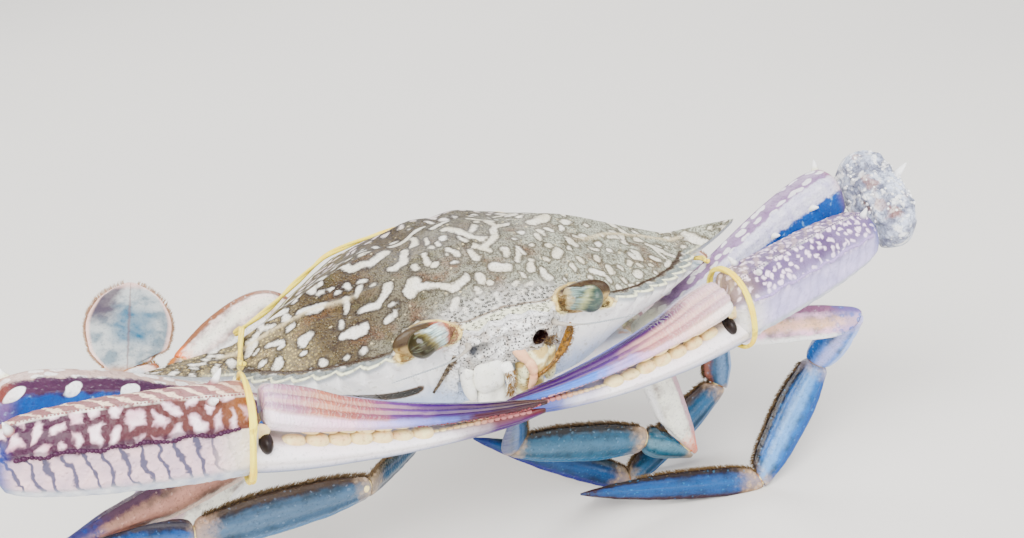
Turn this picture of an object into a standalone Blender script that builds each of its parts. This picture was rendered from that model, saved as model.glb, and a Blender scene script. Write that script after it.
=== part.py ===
"""Blue swimming crab (Portunus pelagicus), an adult male, as a still life-size model.

The crab stands with its body level, the left legs folded so that their last joints lie on the floor,
the long claws crossed in front of the mouth and tied with an elastic band. Lengths are millimetres in
the crab's own frame: origin at the middle of the shell's margin plane, +X to the crab's left, -Y ahead,
+Z up. put() moves everything into the row frame, in metres, with the floor at z = 0.
"""
import math

import bmesh
import bpy
import numpy as np

MM = 0.001
GAP = 0.35                                # clearance between touching pieces
FLOOR_Z = -82.0                           # what the crab stands on, in the crab's frame
BODY_AT = np.array([1.9, 2.9, -FLOOR_Z])  # the crab frame's origin in the row frame

# Shell
SPINE_TIP = (80.3, -1.3, -4.2)            # tip of the ninth, longest side spine: 160.6 across
DOME = 12.6                               # crown of the shell above the margin plane
SHELL_FLOOR = -20.0                       # where the shell's side walls end on the thorax
HUB = np.array([0.0, 1.0])                # middle of the shell's rings, in plan
THORAX_FLOOR = -26.5


def unit(v):
    v = np.asarray(v, float)
    return v / np.linalg.norm(v)


def mirror(p, side):
    """side is +1 for the crab's left (+X) and -1 for its right."""
    return np.array([side * p[0], p[1], p[2]], float)


# ------------------------------------------------------------------ materials and objects

def material(name, color, roughness=0.45, metallic=0.0):
    made = bpy.data.materials.get(name)
    if made:
        return made
    made = bpy.data.materials.new(name)
    made.use_nodes = True
    shader = made.node_tree.nodes["Principled BSDF"]
    shader.inputs["Base Color"].default_value = (*color, 1.0)
    shader.inputs["Roughness"].default_value = roughness
    shader.inputs["Metallic"].default_value = metallic
    made.diffuse_color = (*color, 1.0)
    return made


SHELL = ("shell", (0.30, 0.28, 0.20), 0.45)
BELLY = ("belly", (0.80, 0.77, 0.70), 0.40)
CLAW = ("claw", (0.34, 0.17, 0.27), 0.38)
LEG = ("leg", (0.10, 0.28, 0.52), 0.35)
EYE = ("eye", (0.05, 0.05, 0.03), 0.12)
BAND = ("band", (0.85, 0.72, 0.40), 0.55)


def put(name, points, faces, finish, cuts=(), smooth=40.0):
    """Make one named object from points in the crab's frame. Each cut is a point and a direction: what lies
    beyond the point, along the direction, is taken off and the opening closed with a flat face."""
    bm = bmesh.new()
    corners = [bm.verts.new(tuple(p)) for p in points]
    for face in faces:
        bm.faces.new([corners[k] for k in face])
    bmesh.ops.recalc_face_normals(bm, faces=bm.faces)
    for point, beyond in cuts:
        geometry = list(bm.verts) + list(bm.edges) + list(bm.faces)
        made = bmesh.ops.bisect_plane(bm, geom=geometry, dist=1e-4, plane_co=tuple(point),
                                      plane_no=tuple(beyond), clear_outer=True)
        rim = [e for e in made["geom_cut"] if isinstance(e, bmesh.types.BMEdge)]
        bmesh.ops.edgeloop_fill(bm, edges=rim)
    bmesh.ops.recalc_face_normals(bm, faces=bm.faces)
    for corner in bm.verts:
        corner.co = tuple((np.array(corner.co) + BODY_AT) * MM)
    mesh = bpy.data.meshes.new(name)
    bm.to_mesh(mesh)
    bm.free()
    mesh.materials.append(material(*finish))
    mesh.shade_smooth()
    mesh.set_sharp_from_angle(angle=math.radians(smooth))
    made = bpy.data.objects.new(name, mesh)
    bpy.context.scene.collection.objects.link(made)
    return made


def strips(rings, closed_ends=True):
    """Points and faces of a tube through rings of equal count, each end closed by a fan to its middle."""
    count = len(rings[0])
    points = [p for ring in rings for p in ring]
    faces = []
    for r in range(len(rings) - 1):
        for k in range(count):
            a, b = r * count + k, r * count + (k + 1) % count
            faces.append((a, b, b + count, a + count))
    if closed_ends:
        for ring, start, turn in ((rings[0], 0, -1), (rings[-1], (len(rings) - 1) * count, 1)):
            points.append(np.mean(ring, axis=0))
            hub = len(points) - 1
            for k in range(count):
                a, b = start + k, start + (k + 1) % count
                faces.append((a, b, hub)[::turn])
    return points, faces


# ------------------------------------------------------------------ lofted articles

def curve(route, t):
    """Point at t (0 to 1) on a smooth Catmull-Rom curve through the route's points."""
    route = [np.asarray(p, float) for p in route]
    if len(route) == 2:
        return route[0] + (route[1] - route[0]) * t
    lengths = [np.linalg.norm(b - a) for a, b in zip(route, route[1:])]
    marks = np.concatenate([[0.0], np.cumsum(lengths)]) / sum(lengths)
    k = min(int(np.searchsorted(marks, t, side="right")) - 1, len(route) - 2)
    k = max(k, 0)
    u = (t - marks[k]) / (marks[k + 1] - marks[k])
    p1, p2 = route[k], route[k + 1]
    p0 = route[k - 1] if k > 0 else 2 * p1 - p2
    p3 = route[k + 2] if k + 2 < len(route) else 2 * p2 - p1
    return 0.5 * (2 * p1 + (p2 - p0) * u + (2 * p0 - 5 * p1 + 4 * p2 - p3) * u ** 2
                  + (3 * p1 - p0 - 3 * p2 + p3) * u ** 3)


def frame_at(route, t, front):
    """Point, direction, front axis (thickness) and upper axis (width) at t on the route."""
    step = 0.01
    here = curve(route, t)
    ahead = unit(curve(route, min(t + step, 1.0)) - curve(route, max(t - step, 0.0)))
    face = unit(np.asarray(front, float) - np.dot(front, ahead) * ahead)
    return here, ahead, face, np.cross(ahead, face)


def blend_table(table, t):
    """Row of numbers at t, read smoothly from rows (t, value, value, ...)."""
    table = np.asarray(table, float)
    return [np.interp(t, table[:, 0], table[:, k]) for k in range(1, table.shape[1])]


def loft(route, front, table, count=12, squareness=2.0, stations=None):
    """Rings along the route. table rows: (t, half_width, half_thickness[, shift up, shift front])."""
    rings = []
    marks = stations if stations is not None else [row[0] for row in table]
    for t in marks:
        here, ahead, face, up = frame_at(route, t, front)
        row = blend_table(table, t)
        wide, thick = row[0], row[1]
        shift = row[2] * up if len(row) > 2 else 0.0
        shift = shift + (row[3] * face if len(row) > 3 else 0.0)
        ring = []
        for k in range(count):
            a = 2 * math.pi * k / count
            c, s = math.cos(a), math.sin(a)
            power = 2.0 / squareness
            u = math.copysign(abs(c) ** power, c) * wide
            v = math.copysign(abs(s) ** power, s) * thick
            ring.append(here + shift + up * u + face * v)
        rings.append(ring)
    return rings


def longer(route, start, end):
    """The route made longer by start and end, along its first and last spans."""
    route = [np.asarray(p, float) for p in route]
    route[0] = route[0] - unit(route[1] - route[0]) * start
    route[-1] = route[-1] + unit(route[-1] - route[-2]) * end
    return route


def miter(before, joint, after):
    """Two cuts that part the articles at a joint, with the gap between them: for the near one, then the far."""
    joint = np.asarray(joint, float)
    way = unit(unit(joint - before) + unit(after - joint))
    return (joint - way * GAP / 2, way), (joint + way * GAP / 2, -way)


# ------------------------------------------------------------------ shell outline

FRONT_TEETH = [                            # crab's left half, from the middle of the front
    (0.0, -34.2, 3.6), (2.6, -35.8, 3.4), (5.2, -34.4, 3.2), (8.8, -37.0, 2.7), (11.2, -34.2, 2.5),
    (13.6, -34.8, 2.3), (16.6, -31.4, 2.0), (20.6, -30.4, 1.0), (24.4, -31.2, -0.2), (28.0, -33.6, -1.6),
]
SIDE_FROM, SIDE_BULGE, SIDE_TO = (29.8, -30.6, -1.8), (50.5, -25.8, -4.8), (60.6, -9.6, -6.6)
SIDE_TEETH = 7                             # teeth two to eight
TOOTH_OUT = 2.4
SPINE = [(69.0, -6.9, -5.9), SPINE_TIP, (70.0, -1.4, -5.6), (61.0, 0.2, -6.0)]
REAR = [(53.0, 6.0, -5.8), (44.0, 15.4, -5.0), (35.0, 24.0, -4.2), (28.5, 29.2, -3.2), (24.0, 32.0, -2.2),
        (16.0, 33.4, -1.2), (8.0, 33.9, -0.6), (0.0, 34.0, -0.4)]


def side_curve(t):
    a, b, c = (np.array(p) for p in (SIDE_FROM, SIDE_BULGE, SIDE_TO))
    return a * (1 - t) ** 2 + 2 * b * t * (1 - t) + c * t ** 2


def side_teeth():
    """Notch and tip of each tooth along the side, from the eye to the long spine."""
    points = []
    for k in range(SIDE_TEETH):
        t0, t1 = k / SIDE_TEETH, (k + 0.62) / SIDE_TEETH
        along = unit(side_curve(t1 + 0.01) - side_curve(t1 - 0.01))
        out = unit([-along[1], along[0], 0.0]) * (-1)
        points.append(side_curve(t0))
        points.append(side_curve(t1) + out * TOOTH_OUT * (-1 if out[0] < 0 else 1) + along * 0.6)
    points.append(np.array(SIDE_TO))
    return points


def half_outline():
    points = [np.array(p, float) for p in FRONT_TEETH] + side_teeth()
    return points + [np.array(p, float) for p in SPINE + REAR]


def full_outline():
    left = half_outline()
    right = [np.array([-p[0], p[1], p[2]]) for p in left[-2:0:-1]]
    return np.array(left + right)


def bare_margin():
    """The left half of the margin without teeth or spine, from the front's middle to the rear's."""
    front = [np.array(FRONT_TEETH[k]) for k in (0, 2, 4, 6, 8)]
    side = [side_curve(t) for t in np.linspace(0, 1, 9)]
    return front + side + [np.array(p) for p in SPINE[3:] + REAR]


def notch_radius(angle):
    """Distance from the hub to the margin without teeth or spine, at an angle in plan from straight ahead."""
    margin = bare_margin()
    angles = [plan_angle(p) for p in margin]
    return float(np.interp(abs(angle), angles, [np.linalg.norm(p[:2] - HUB) for p in margin]))


def foot_radius(angle):
    """Distance from the hub to the lower edge of the shell's wall."""
    a = abs(angle)
    marks = np.radians([0, 25, 45, 65, 90, 115, 140, 160, 180])
    reach = [29.5, 31.5, 34.5, 37.0, 36.0, 32.5, 33.0, 31.0, 29.0]
    return float(np.interp(a, marks, reach))


def plan_angle(p):
    """Angle in plan from straight ahead (0) to straight behind (pi), signed to the left."""
    return math.atan2(p[0] - HUB[0], -(p[1] - HUB[1]))


def relief(x, y):
    """Bosses and grooves of the shell's upper side, in millimetres."""
    x = abs(x)

    def bump(cx, cy, rx, ry, high):
        return high * math.exp(-((x - cx) / rx) ** 2 - ((y - cy) / ry) ** 2)
    high = bump(9, -14, 8, 8, 1.0) + bump(0, -2, 6, 7, 0.7) + bump(22, -14, 8, 7, 0.7)
    high += bump(6, 17, 6, 6, 1.2) + bump(28, 4, 13, 10, 1.5) + bump(20, 20, 8, 7, 0.8)
    high -= bump(14, 4, 4, 9, 1.3) + bump(11, 24, 4, 5, 0.9) + bump(33, -12, 5, 5, 0.7)
    high -= bump(0, 9, 8, 2.6, 0.9)
    return high


def shell_top(r, angle, edge_z):
    """Point on the shell's upper side, r from the hub (0) to the margin without teeth (1)."""
    reach = notch_radius(angle) * r
    x, y = HUB + np.array([math.sin(angle), -math.cos(angle)]) * reach
    rise = 1.0 - 1.35 * r ** 2 + 0.35 * r ** 4
    return np.array([x, y, edge_z * r ** 2 + DOME * rise + relief(x, y) * (1.0 - r ** 6)])


def shell_rings():
    """Rings from just round the hub, over the margin, to the lower edge of the wall."""
    outline = full_outline()
    rings = [[shell_top(r, plan_angle(p), p[2]) for p in outline] for r in (0.2, 0.45, 0.68, 0.86, 0.965)]
    rings.append(list(outline))
    under, waist, mid, foot = [], [], [], []
    for p in outline:
        angle = plan_angle(p)
        way = np.array([math.sin(angle), -math.cos(angle)])
        reach = np.linalg.norm(p[:2] - HUB)
        notch, base = min(notch_radius(angle), reach - 0.6), foot_radius(angle)
        under.append([*(HUB + way * (reach - 0.5)), p[2] - 1.3])
        waist.append([*(HUB + way * (notch - 0.4)), min(p[2], -1.0) - 4.2])
        mid.append([*(HUB + way * (0.42 * notch + 0.58 * base)), -14.0])
        foot.append([*(HUB + way * base), SHELL_FLOOR])
    return rings + [under, waist, mid, foot]


def cut(target, cutter):
    """Take the cutter's solid out of the target."""
    cutter.hide_render = True
    cutter.display_type = "WIRE"
    modifier = target.modifiers.new("cut_" + cutter.name, "BOOLEAN")
    modifier.operation = "DIFFERENCE"
    modifier.solver = "EXACT"
    modifier.object = cutter


def ball(name, center, radii, tilt, finish, rows=8, count=14):
    """Ellipsoid; tilt turns it about the Y axis by an angle in degrees."""
    c, s = math.cos(math.radians(tilt)), math.sin(math.radians(tilt))
    rings = []
    for r in range(1, rows):
        a = math.pi * r / rows
        ring = []
        for k in range(count):
            b = 2 * math.pi * k / count
            p = np.array([radii[0] * math.sin(a) * math.cos(b), radii[1] * math.sin(a) * math.sin(b),
                          radii[2] * math.cos(a)])
            ring.append(np.array([c * p[0] + s * p[2], p[1], -s * p[0] + c * p[2]]) + center)
        rings.append(ring)
    return put(name, *strips(rings), finish)


def box_points(low, high):
    (x0, y0, z0), (x1, y1, z1) = low, high
    points = [(x, y, z) for z in (z0, z1) for x, y in ((x0, y0), (x1, y0), (x1, y1), (x0, y1))]
    faces = [(3, 2, 1, 0), (4, 5, 6, 7), (0, 1, 5, 4), (1, 2, 6, 5), (2, 3, 7, 6), (3, 0, 4, 7)]
    return points, faces


ORBIT_AT, ORBIT_RADII, ORBIT_TILT = (20.2, -34.3, 0.9), (8.2, 7.0, 4.1), 13.0
FACE_HALF, FACE_BACK, FACE_TOP = 12.6, -28.0, 0.6


def shell():
    made = put("carapace", *strips(shell_rings()), SHELL)
    for side in (1, -1):
        cut(made, ball(f"orbit_cutter_{side}", mirror(ORBIT_AT, side), ORBIT_RADII, side * ORBIT_TILT, SHELL))
    notch = put("face_cutter", *box_points((-FACE_HALF, -60.0, -40.0), (FACE_HALF, FACE_BACK, FACE_TOP)), SHELL)
    cut(made, notch)
    return made


# ------------------------------------------------------------------ face

def eye(side):
    route = [(14.6, -31.6, 2.2), (18.5, -32.6, 1.6), (24.2, -33.2, 0.1)]
    table = [(0.0, 1.4, 1.4), (0.1, 2.4, 2.4), (0.45, 2.5, 2.5), (0.62, 3.1, 3.1), (0.8, 3.3, 3.3),
             (0.94, 2.6, 2.6), (1.0, 1.0, 1.0)]
    route = [mirror(p, side) for p in route]
    put(f"{SIDE[side]}_eye", *strips(loft(route, (0, -1, 0), table, 10)), EYE)


SIDE = {1: "left", -1: "right"}


def face():
    """Epistome: the plate between the eyes and above the mouth, with the folded feelers' bosses."""
    half, back, low, top = FACE_HALF - GAP, FACE_BACK - GAP, -9.2, FACE_TOP - GAP
    across = np.linspace(-half, half, 11)
    rings = []
    for x in across:
        swell = 1.0 - 0.35 * (abs(x) / half) ** 2
        boss = 0.9 * math.exp(-((abs(x) - 7.6) / 2.4) ** 2)
        front = [(low, -32.6 * swell), (low + 2.4, -33.4 - boss * 0.3), (-3.6, -33.2 - boss),
                 (-1.4, -33.0 - 0.5 * boss), (top, -32.2)]
        ring = [np.array([x, back, low]), *[np.array([x, min(y, back - 2.5), z]) for z, y in front],
                np.array([x, back, top])]
        rings.append(ring)
    put("face", *strips(rings), BELLY)


def mouthpart(side):
    """Outer mouthpart (third maxilliped), one closed valve of the pair over the mouth."""
    inner, outer, low, high = 0.3, FACE_HALF - GAP, -23.0, -9.8
    rings = []
    for z in np.linspace(low, high, 6):
        t = (z - low) / (high - low)
        width = (0.62 + 0.38 * math.sin(math.pi * min(t * 0.9 + 0.1, 1.0) / 2)) * (outer - inner)
        bulge = 1.2 * math.sin(math.pi * t)
        front = -31.0 - 2.3 * t - bulge
        ring = []
        for k, (u, v) in enumerate(((0, 0), (1, 0), (1, 0.7), (0.75, 1.0), (0.3, 1.0), (0, 0.8))):
            ring.append(mirror((inner + width * u, -28.4 + (front + 28.4) * v, z), side))
        rings.append(ring)
    put(f"{SIDE[side]}_maxilliped", *strips(rings), BELLY)


def antenna(side):
    route = [(11.1, -33.9, -1.6), (11.3, -35.8, -1.6), (14.2, -38.2, -1.7), (18.0, -39.6, -1.9),
             (24.0, -39.4, -2.6), (31.0, -37.8, -4.0)]
    table = [(0.0, 0.5, 0.5), (0.03, 1.0, 1.0), (0.18, 0.9, 0.9), (0.24, 0.45, 0.45), (0.6, 0.32, 0.32),
             (0.97, 0.26, 0.26), (1.0, 0.12, 0.12)]
    route = [mirror(p, side) for p in route]
    stations = [0, 0.03, 0.1, 0.18, 0.24, 0.36, 0.5, 0.65, 0.8, 0.97, 1.0]
    put(f"{SIDE[side]}_antenna", *strips(loft(route, (0, 0, 1), table, 6, stations=stations)), BELLY)


# ------------------------------------------------------------------ thorax and tail flap

HIPS = {                                   # root on the thorax and end of the hip, left side
    "claw": ((12.0, -15.5, -23.6), (40.0, -17.0, -23.6), 4.4),
    "leg2": ((25.0, -7.5, -23.8), (41.0, -7.5, -24.6), 4.0),
    "leg3": ((25.0, 2.2, -23.8), (40.0, 2.4, -24.8), 3.9),
    "leg4": ((24.0, 11.6, -23.8), (38.0, 12.0, -24.6), 3.8),
    "leg5": ((13.0, 19.0, -23.4), (33.0, 27.0, -22.6), 4.2),
}


def thorax():
    """Breast plate under the shell, with the five pairs of hips that grow from it."""
    outline = []
    for k in range(16):
        a = 2 * math.pi * k / 16
        outline.append((27.5 * math.copysign(abs(math.sin(a)) ** 0.8, math.sin(a)), 1.5 - 27.0 * math.cos(a)))
    layers = [(SHELL_FLOOR - GAP, 0.98), (SHELL_FLOOR - 2.5, 1.0), (THORAX_FLOOR + 1.5, 0.93), (THORAX_FLOOR, 0.78)]
    rings = [[np.array([x * grow, 1.5 + (y - 1.5) * grow, z]) for x, y in outline] for z, grow in layers]
    body = put("thorax", *strips(rings), BELLY)
    for side in (1, -1):
        for name, (root, end, radius) in HIPS.items():
            route = [mirror(root, side), mirror(end, side)]
            table = [(0, radius, radius * 0.8), (0.8, radius, radius * 0.8), (1.0, radius * 0.6, radius * 0.5)]
            top = SHELL_FLOOR - 2 * GAP
            hip = loft(route, (0, -1, 0), table, 8)
            hip = [[np.array([p[0], p[1], min(p[2], top)]) for p in ring] for ring in hip]
            piece = put(f"hip_{name}_{side}", *strips(hip), BELLY)
            piece.hide_render = True
            piece.display_type = "WIRE"
            joined = body.modifiers.new("join_" + piece.name, "BOOLEAN")
            joined.operation = "UNION"
            joined.solver = "EXACT"
            joined.object = piece
    return body


TAIL_ROUTE = [(0, 35.6, -3.4), (0, 37.2, -8.0), (0, 36.6, -16.0), (0, 32.8, -25.6), (0, 22.0, -29.3),
              (0, 6.0, -29.6), (0, -10.0, -29.0)]
TAIL_TABLE = [(0.0, 19.0, 1.0), (0.1, 20.5, 1.5), (0.24, 19.5, 1.6), (0.36, 17.0, 1.6), (0.46, 14.5, 1.5),
              (0.58, 10.5, 1.5), (0.74, 6.6, 1.5), (0.9, 4.6, 1.4), (0.98, 2.4, 1.1), (1.0, 1.0, 0.6)]


def tail_flap():
    """Tail flap, folded under the thorax as in every crab; the male's is narrow."""
    rings = []
    for t, wide, thick in TAIL_TABLE:
        here, ahead, _, _ = frame_at(TAIL_ROUTE, t, (1, 0, 0))
        side, out = np.array([1.0, 0, 0]), np.cross(np.array([1.0, 0, 0]), ahead)
        ring = [here + side * wide * math.cos(a) + out * thick * math.sin(a)
                for a in (2 * math.pi * k / 12 for k in range(12))]
        rings.append(ring)
    put("abdomen", *strips(rings), BELLY)


# ------------------------------------------------------------------ claws

CLAWS = {
    "right": dict(
        side=-1,
        merus=[(-41.5, -17.2, -23.0), (-50.0, -18.6, -19.0), (-68.0, -21.5, -9.0), (-92.0, -26.0, 2.5),
               (-114.8, -30.7, 10.8)],
        carpus=[(-121.6, -22.5, 13.0), (-122.8, -38.5, 10.4), (-121.8, -54.5, 8.4)],
        palm=[(-115.8, -47.0, 8.8), (-90.0, -49.6, 5.8), (-64.0, -51.0, 2.2)],
        tip=(3.0, -45.0, -16.6), spines=3.6, palm_height=1.0, sag=(2.9, 2.2)),
    "left": dict(
        side=1,
        merus=[(41.5, -17.0, -23.2), (52.0, -13.2, -21.2), (70.0, -10.8, -15.5), (92.0, -8.0, -6.6),
               (110.3, -6.5, -0.1)],
        carpus=[(117.6, 0.6, 3.0), (119.0, -13.0, -3.4), (117.2, -27.0, -10.2)],
        palm=[(111.4, -20.1, -8.4), (86.0, -24.0, -12.4), (61.2, -27.6, -16.0)],
        tip=(-6.0, -40.0, -17.2), spines=1.6, palm_height=0.94, sag=(3.2, 3.2)),
}
MERUS_TABLE = [(0.0, 3.0, 2.8), (0.03, 4.2, 3.8), (0.14, 4.6, 4.0), (0.3, 5.6, 4.8), (0.5, 7.2, 5.4),
               (0.7, 8.4, 5.8), (0.86, 8.8, 6.2), (0.96, 7.4, 5.4), (1.0, 4.6, 3.4)]
CARPUS_TABLE = [(0.0, 3.0, 3.8), (0.1, 5.4, 7.0), (0.35, 7.0, 9.2), (0.62, 7.0, 9.0), (0.85, 5.8, 7.4),
                (1.0, 3.0, 4.0)]
PALM_TABLE = [(0.0, 4.8, 4.0), (0.05, 7.2, 5.8), (0.18, 8.9, 7.0), (0.45, 10.2, 7.6), (0.75, 10.6, 7.6),
              (0.95, 10.4, 7.2), (1.0, 10.2, 6.8)]


def palm_table(spec):
    """The palm's half sizes: the left hand is the slimmer one."""
    return [(t, wide * spec["palm_height"], thick) for t, wide, thick in PALM_TABLE]


def spine_cone(base, tip, radius, count=5):
    """Rings of a sharp thorn, for joining to the article that it grows from."""
    ahead = unit(np.subtract(tip, base))
    side = unit(np.cross(ahead, (0.3, 0.5, 0.8)))
    other = np.cross(ahead, side)
    rings = []
    for t, r in ((0.0, radius), (0.6, radius * 0.45), (1.0, 0.18)):
        here = np.asarray(base) + (np.asarray(tip) - base) * t
        rings.append([here + r * (side * math.cos(a) + other * math.sin(a))
                      for a in (2 * math.pi * k / count for k in range(count))])
    return rings


def join(target, name, rings, finish):
    """Join another closed solid to the target."""
    piece = put(name, *strips(rings), finish)
    piece.hide_render = True
    piece.display_type = "WIRE"
    modifier = target.modifiers.new(name, "BOOLEAN")
    modifier.operation = "UNION"
    modifier.solver = "EXACT"
    modifier.object = piece


def finger_route(hinge, tip, lift, bow):
    """Route of one finger from the hinge to the tip, bowed by bow along lift."""
    hinge, tip = np.asarray(hinge, float), np.asarray(tip, float)
    points = []
    for t in (0.0, 0.25, 0.5, 0.75, 1.0):
        points.append(hinge + (tip - hinge) * t + np.asarray(lift) * bow * math.sin(math.pi * t) ** 0.9)
    return points


FIXED_TABLE = [(0.0, 4.0, 5.5), (0.14, 4.3, 5.7), (0.4, 3.3, 4.5), (0.7, 2.2, 3.0), (0.9, 1.3, 1.8),
               (1.0, 0.35, 0.35)]
MOVING_TABLE = [(0.0, 3.9, 4.6), (0.04, 4.6, 6.0), (0.12, 4.7, 6.2), (0.28, 3.5, 5.5), (0.49, 2.5, 4.3),
                (0.7, 1.7, 3.1), (0.9, 1.0, 1.7), (1.0, 0.35, 0.35)]
FIXED_ROOT = 5.3                           # the fixed finger's root below the hinge's middle
MOVING_ROOT = 4.7                          # the moving finger's root above it
FRONT = (0.0, -1.0, 0.0)


def finger_axes(spec):
    """Hinge, unit vector to the tip, and the hinge's upward axis."""
    hinge = np.array(spec["palm"][-1])
    ahead = unit(np.array(spec["tip"]) - hinge)
    face = unit(np.array(FRONT) - np.dot(FRONT, ahead) * ahead)
    up = np.cross(ahead, face)
    return hinge, ahead, up if up[2] > 0 else -up


def thorns(target, name, route, table, where, finish):
    """Thorns on an article. where rows: (t, angle from the front in degrees, length, lean ahead)."""
    for n, (t, angle, length, lean) in enumerate(where):
        here, ahead, face, up = frame_at(route, t, FRONT)
        up = up if up[2] > 0 else -up
        wide, thick = blend_table(table, t)[:2]
        a = math.radians(angle)
        out = unit(face * math.cos(a) + up * math.sin(a))
        depth = 1.0 / math.hypot(math.cos(a) / thick, math.sin(a) / wide)
        base = here + out * (depth - 1.6)
        join(target, f"{name}_thorn_{n}", spine_cone(base, base + out * (length + 1.6) + ahead * lean, 1.9), finish)


def claw(name):
    spec = CLAWS[name]
    merus = put(f"{name}_claw_merus", *strips(loft(spec["merus"], FRONT, MERUS_TABLE, 12, 2.4)), CLAW)
    thorns(merus, f"{name}_merus", spec["merus"], MERUS_TABLE,
           [(0.46, 20, spec["spines"], 1.2), (0.64, 18, spec["spines"], 1.4), (0.82, 16, spec["spines"], 1.6),
            (0.95, 120, 3.0, 1.5)], CLAW)
    carpus = put(f"{name}_claw_carpus", *strips(loft(spec["carpus"], (0, 0, 1), CARPUS_TABLE, 12, 2.3)), CLAW)
    middle = np.array(spec["carpus"][1])
    for n, way in enumerate(((0.55, -0.25, 0.8), (0.35, 0.15, -0.93))):
        out = unit(mirror(way, spec["side"]))
        join(carpus, f"{name}_carpus_thorn_{n}", spine_cone(middle + out * 6.0, middle + out * 12.6, 2.2), CLAW)
    hinge, ahead, up = finger_axes(spec)
    tip = np.array(spec["tip"])
    moving_sag, fixed_sag = spec["sag"]
    palm = put(f"{name}_claw_palm", *strips(loft(spec["palm"], FRONT, palm_table(spec), 14, 2.3)), CLAW)
    root = hinge - up * FIXED_ROOT
    fixed = [root - ahead * 8.0, *finger_route(root, tip - up * 1.6, -up, fixed_sag)]
    marks = [0.0, 0.14, 0.27, 0.45, 0.62, 0.78, 0.9, 1.0]
    join(palm, f"{name}_fixed_finger", loft(fixed, FRONT, FIXED_TABLE, 10, 2.2, stations=marks), CLAW)
    thorns(palm, f"{name}_palm", spec["palm"], palm_table(spec),
           [(0.83, 112, 3.2, 2.0), (0.8, 60, 2.6, 1.8), (0.08, 70, 3.6, 0.5)], CLAW)
    moving = finger_route(hinge + up * MOVING_ROOT, tip + up * 1.0, -up, moving_sag)
    marks = [0.0, 0.04, 0.12, 0.27, 0.45, 0.62, 0.78, 0.9, 1.0]
    rings = loft(longer(moving, 1.0, 0.0), FRONT, MOVING_TABLE, 10, 2.2, stations=marks)
    along = unit(hinge - np.array(spec["palm"][1]))
    put(f"{name}_claw_finger", *strips(rings), CLAW, [(hinge + along * GAP, -along)])


# ------------------------------------------------------------------ walking legs

# Each leg's joints run hip end, ischium end, knee, wrist, ankle, tip.
LEGS = {
    "left_leg2": dict(front=(-0.35, -0.85, 0.35), joints=[
        (43.0, -7.4, -25.0), (54.0, -7.6, -29.0), (104.5, -22.0, -33.0), (103.0, -8.0, -52.5),
        (78.5, -16.0, -79.5), (26.5, -7.0, -72.0)]),
    "left_leg3": dict(front=(0.1, -1, 0.0), joints=[
        (42.0, 2.4, -25.2), (50.0, 2.0, -30.0), (63.0, -1.0, -72.0), (50.0, -1.0, -65.0),
        (10.5, -0.5, -55.0), (1.5, -29.0, -26.5)]),
    "left_leg4": dict(front=(0.0, -1, 0.1), joints=[
        (40.0, 12.0, -24.8), (50.0, 13.5, -28.0), (86.0, 19.0, -50.0), (84.0, 16.0, -66.0),
        (47.0, 4.6, -80.8), (3.0, 10.0, -55.4)]),
    "right_leg2": dict(front=(-0.25, -1, 0.1), joints=[
        (-43.0, -7.6, -24.8), (-54.0, -9.0, -27.0), (-103.5, -24.0, -31.0), (-79.0, -25.0, -36.0),
        (-36.0, -21.5, -39.5), (-6.0, 14.0, -50.0)]),
    "right_leg3": dict(front=(-0.1, -1, 0.0), joints=[
        (-42.0, 2.4, -25.2), (-51.0, 2.2, -29.0), (-92.0, -3.0, -58.0), (-84.0, -8.0, -76.0),
        (-70.0, -22.0, -78.8), (-24.0, -33.0, -79.2)]),
    "right_leg4": dict(front=(-0.1, -1, 0.1), joints=[
        (-40.0, 12.0, -24.8), (-50.0, 13.5, -28.0), (-88.0, 17.0, -52.0), (-94.0, 12.0, -68.0),
        (-72.0, 4.0, -78.8), (-29.0, 12.0, -79.2)]),
}
LEG_TABLES = {
    "merus": [(0.0, 2.4, 2.2), (0.03, 3.4, 2.9), (0.2, 4.0, 3.1), (0.32, 4.9, 3.0), (0.6, 5.2, 3.0),
              (0.85, 4.7, 2.9), (1.0, 3.4, 2.3)],
    "carpus": [(0.0, 2.8, 2.1), (0.3, 4.1, 2.8), (0.6, 4.9, 3.0), (1.0, 3.2, 2.2)],
    "propodus": [(0.0, 2.9, 1.8), (0.12, 4.4, 2.2), (0.38, 5.8, 2.4), (0.7, 5.2, 2.2), (1.0, 2.4, 1.7)],
    "dactyl": [(0.0, 2.0, 1.4), (0.08, 3.3, 1.8), (0.26, 4.3, 1.9), (0.5, 4.0, 1.7), (0.75, 2.8, 1.3),
               (0.92, 1.3, 0.8), (1.0, 0.3, 0.3)],
}
PAST_JOINT = 2.5                           # how far an article runs past its joint before the cut


def leg(name, spec, tables, count):
    """Articles from the hip to the tip, parted at the knee, wrist and ankle."""
    hip, ischium, knee, wrist, ankle, tip = (np.array(p, float) for p in spec["joints"])
    cuts = [miter(ischium, knee, wrist), miter(knee, wrist, ankle), miter(wrist, ankle, tip)]
    last = [part for part in tables][-1]
    routes = {"merus": longer([hip, ischium, knee], 0.8, PAST_JOINT),
              "carpus": longer([knee, wrist], PAST_JOINT, PAST_JOINT),
              "propodus": longer([wrist, ankle], PAST_JOINT, PAST_JOINT),
              last: longer([ankle, tip], PAST_JOINT, 0.0)}
    for n, (part, table) in enumerate(tables.items()):
        ends = ([cuts[n - 1][1]] if n > 0 else []) + ([cuts[n][0]] if n < len(cuts) else [])
        points, faces = strips(loft(routes[part], spec["front"], table, count))
        put(f"{name}_{part}", points, faces, LEG, [*ends, ((0.0, 0.0, FLOOR_Z), (0.0, 0.0, -1.0))])


# ------------------------------------------------------------------ swimming legs

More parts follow.
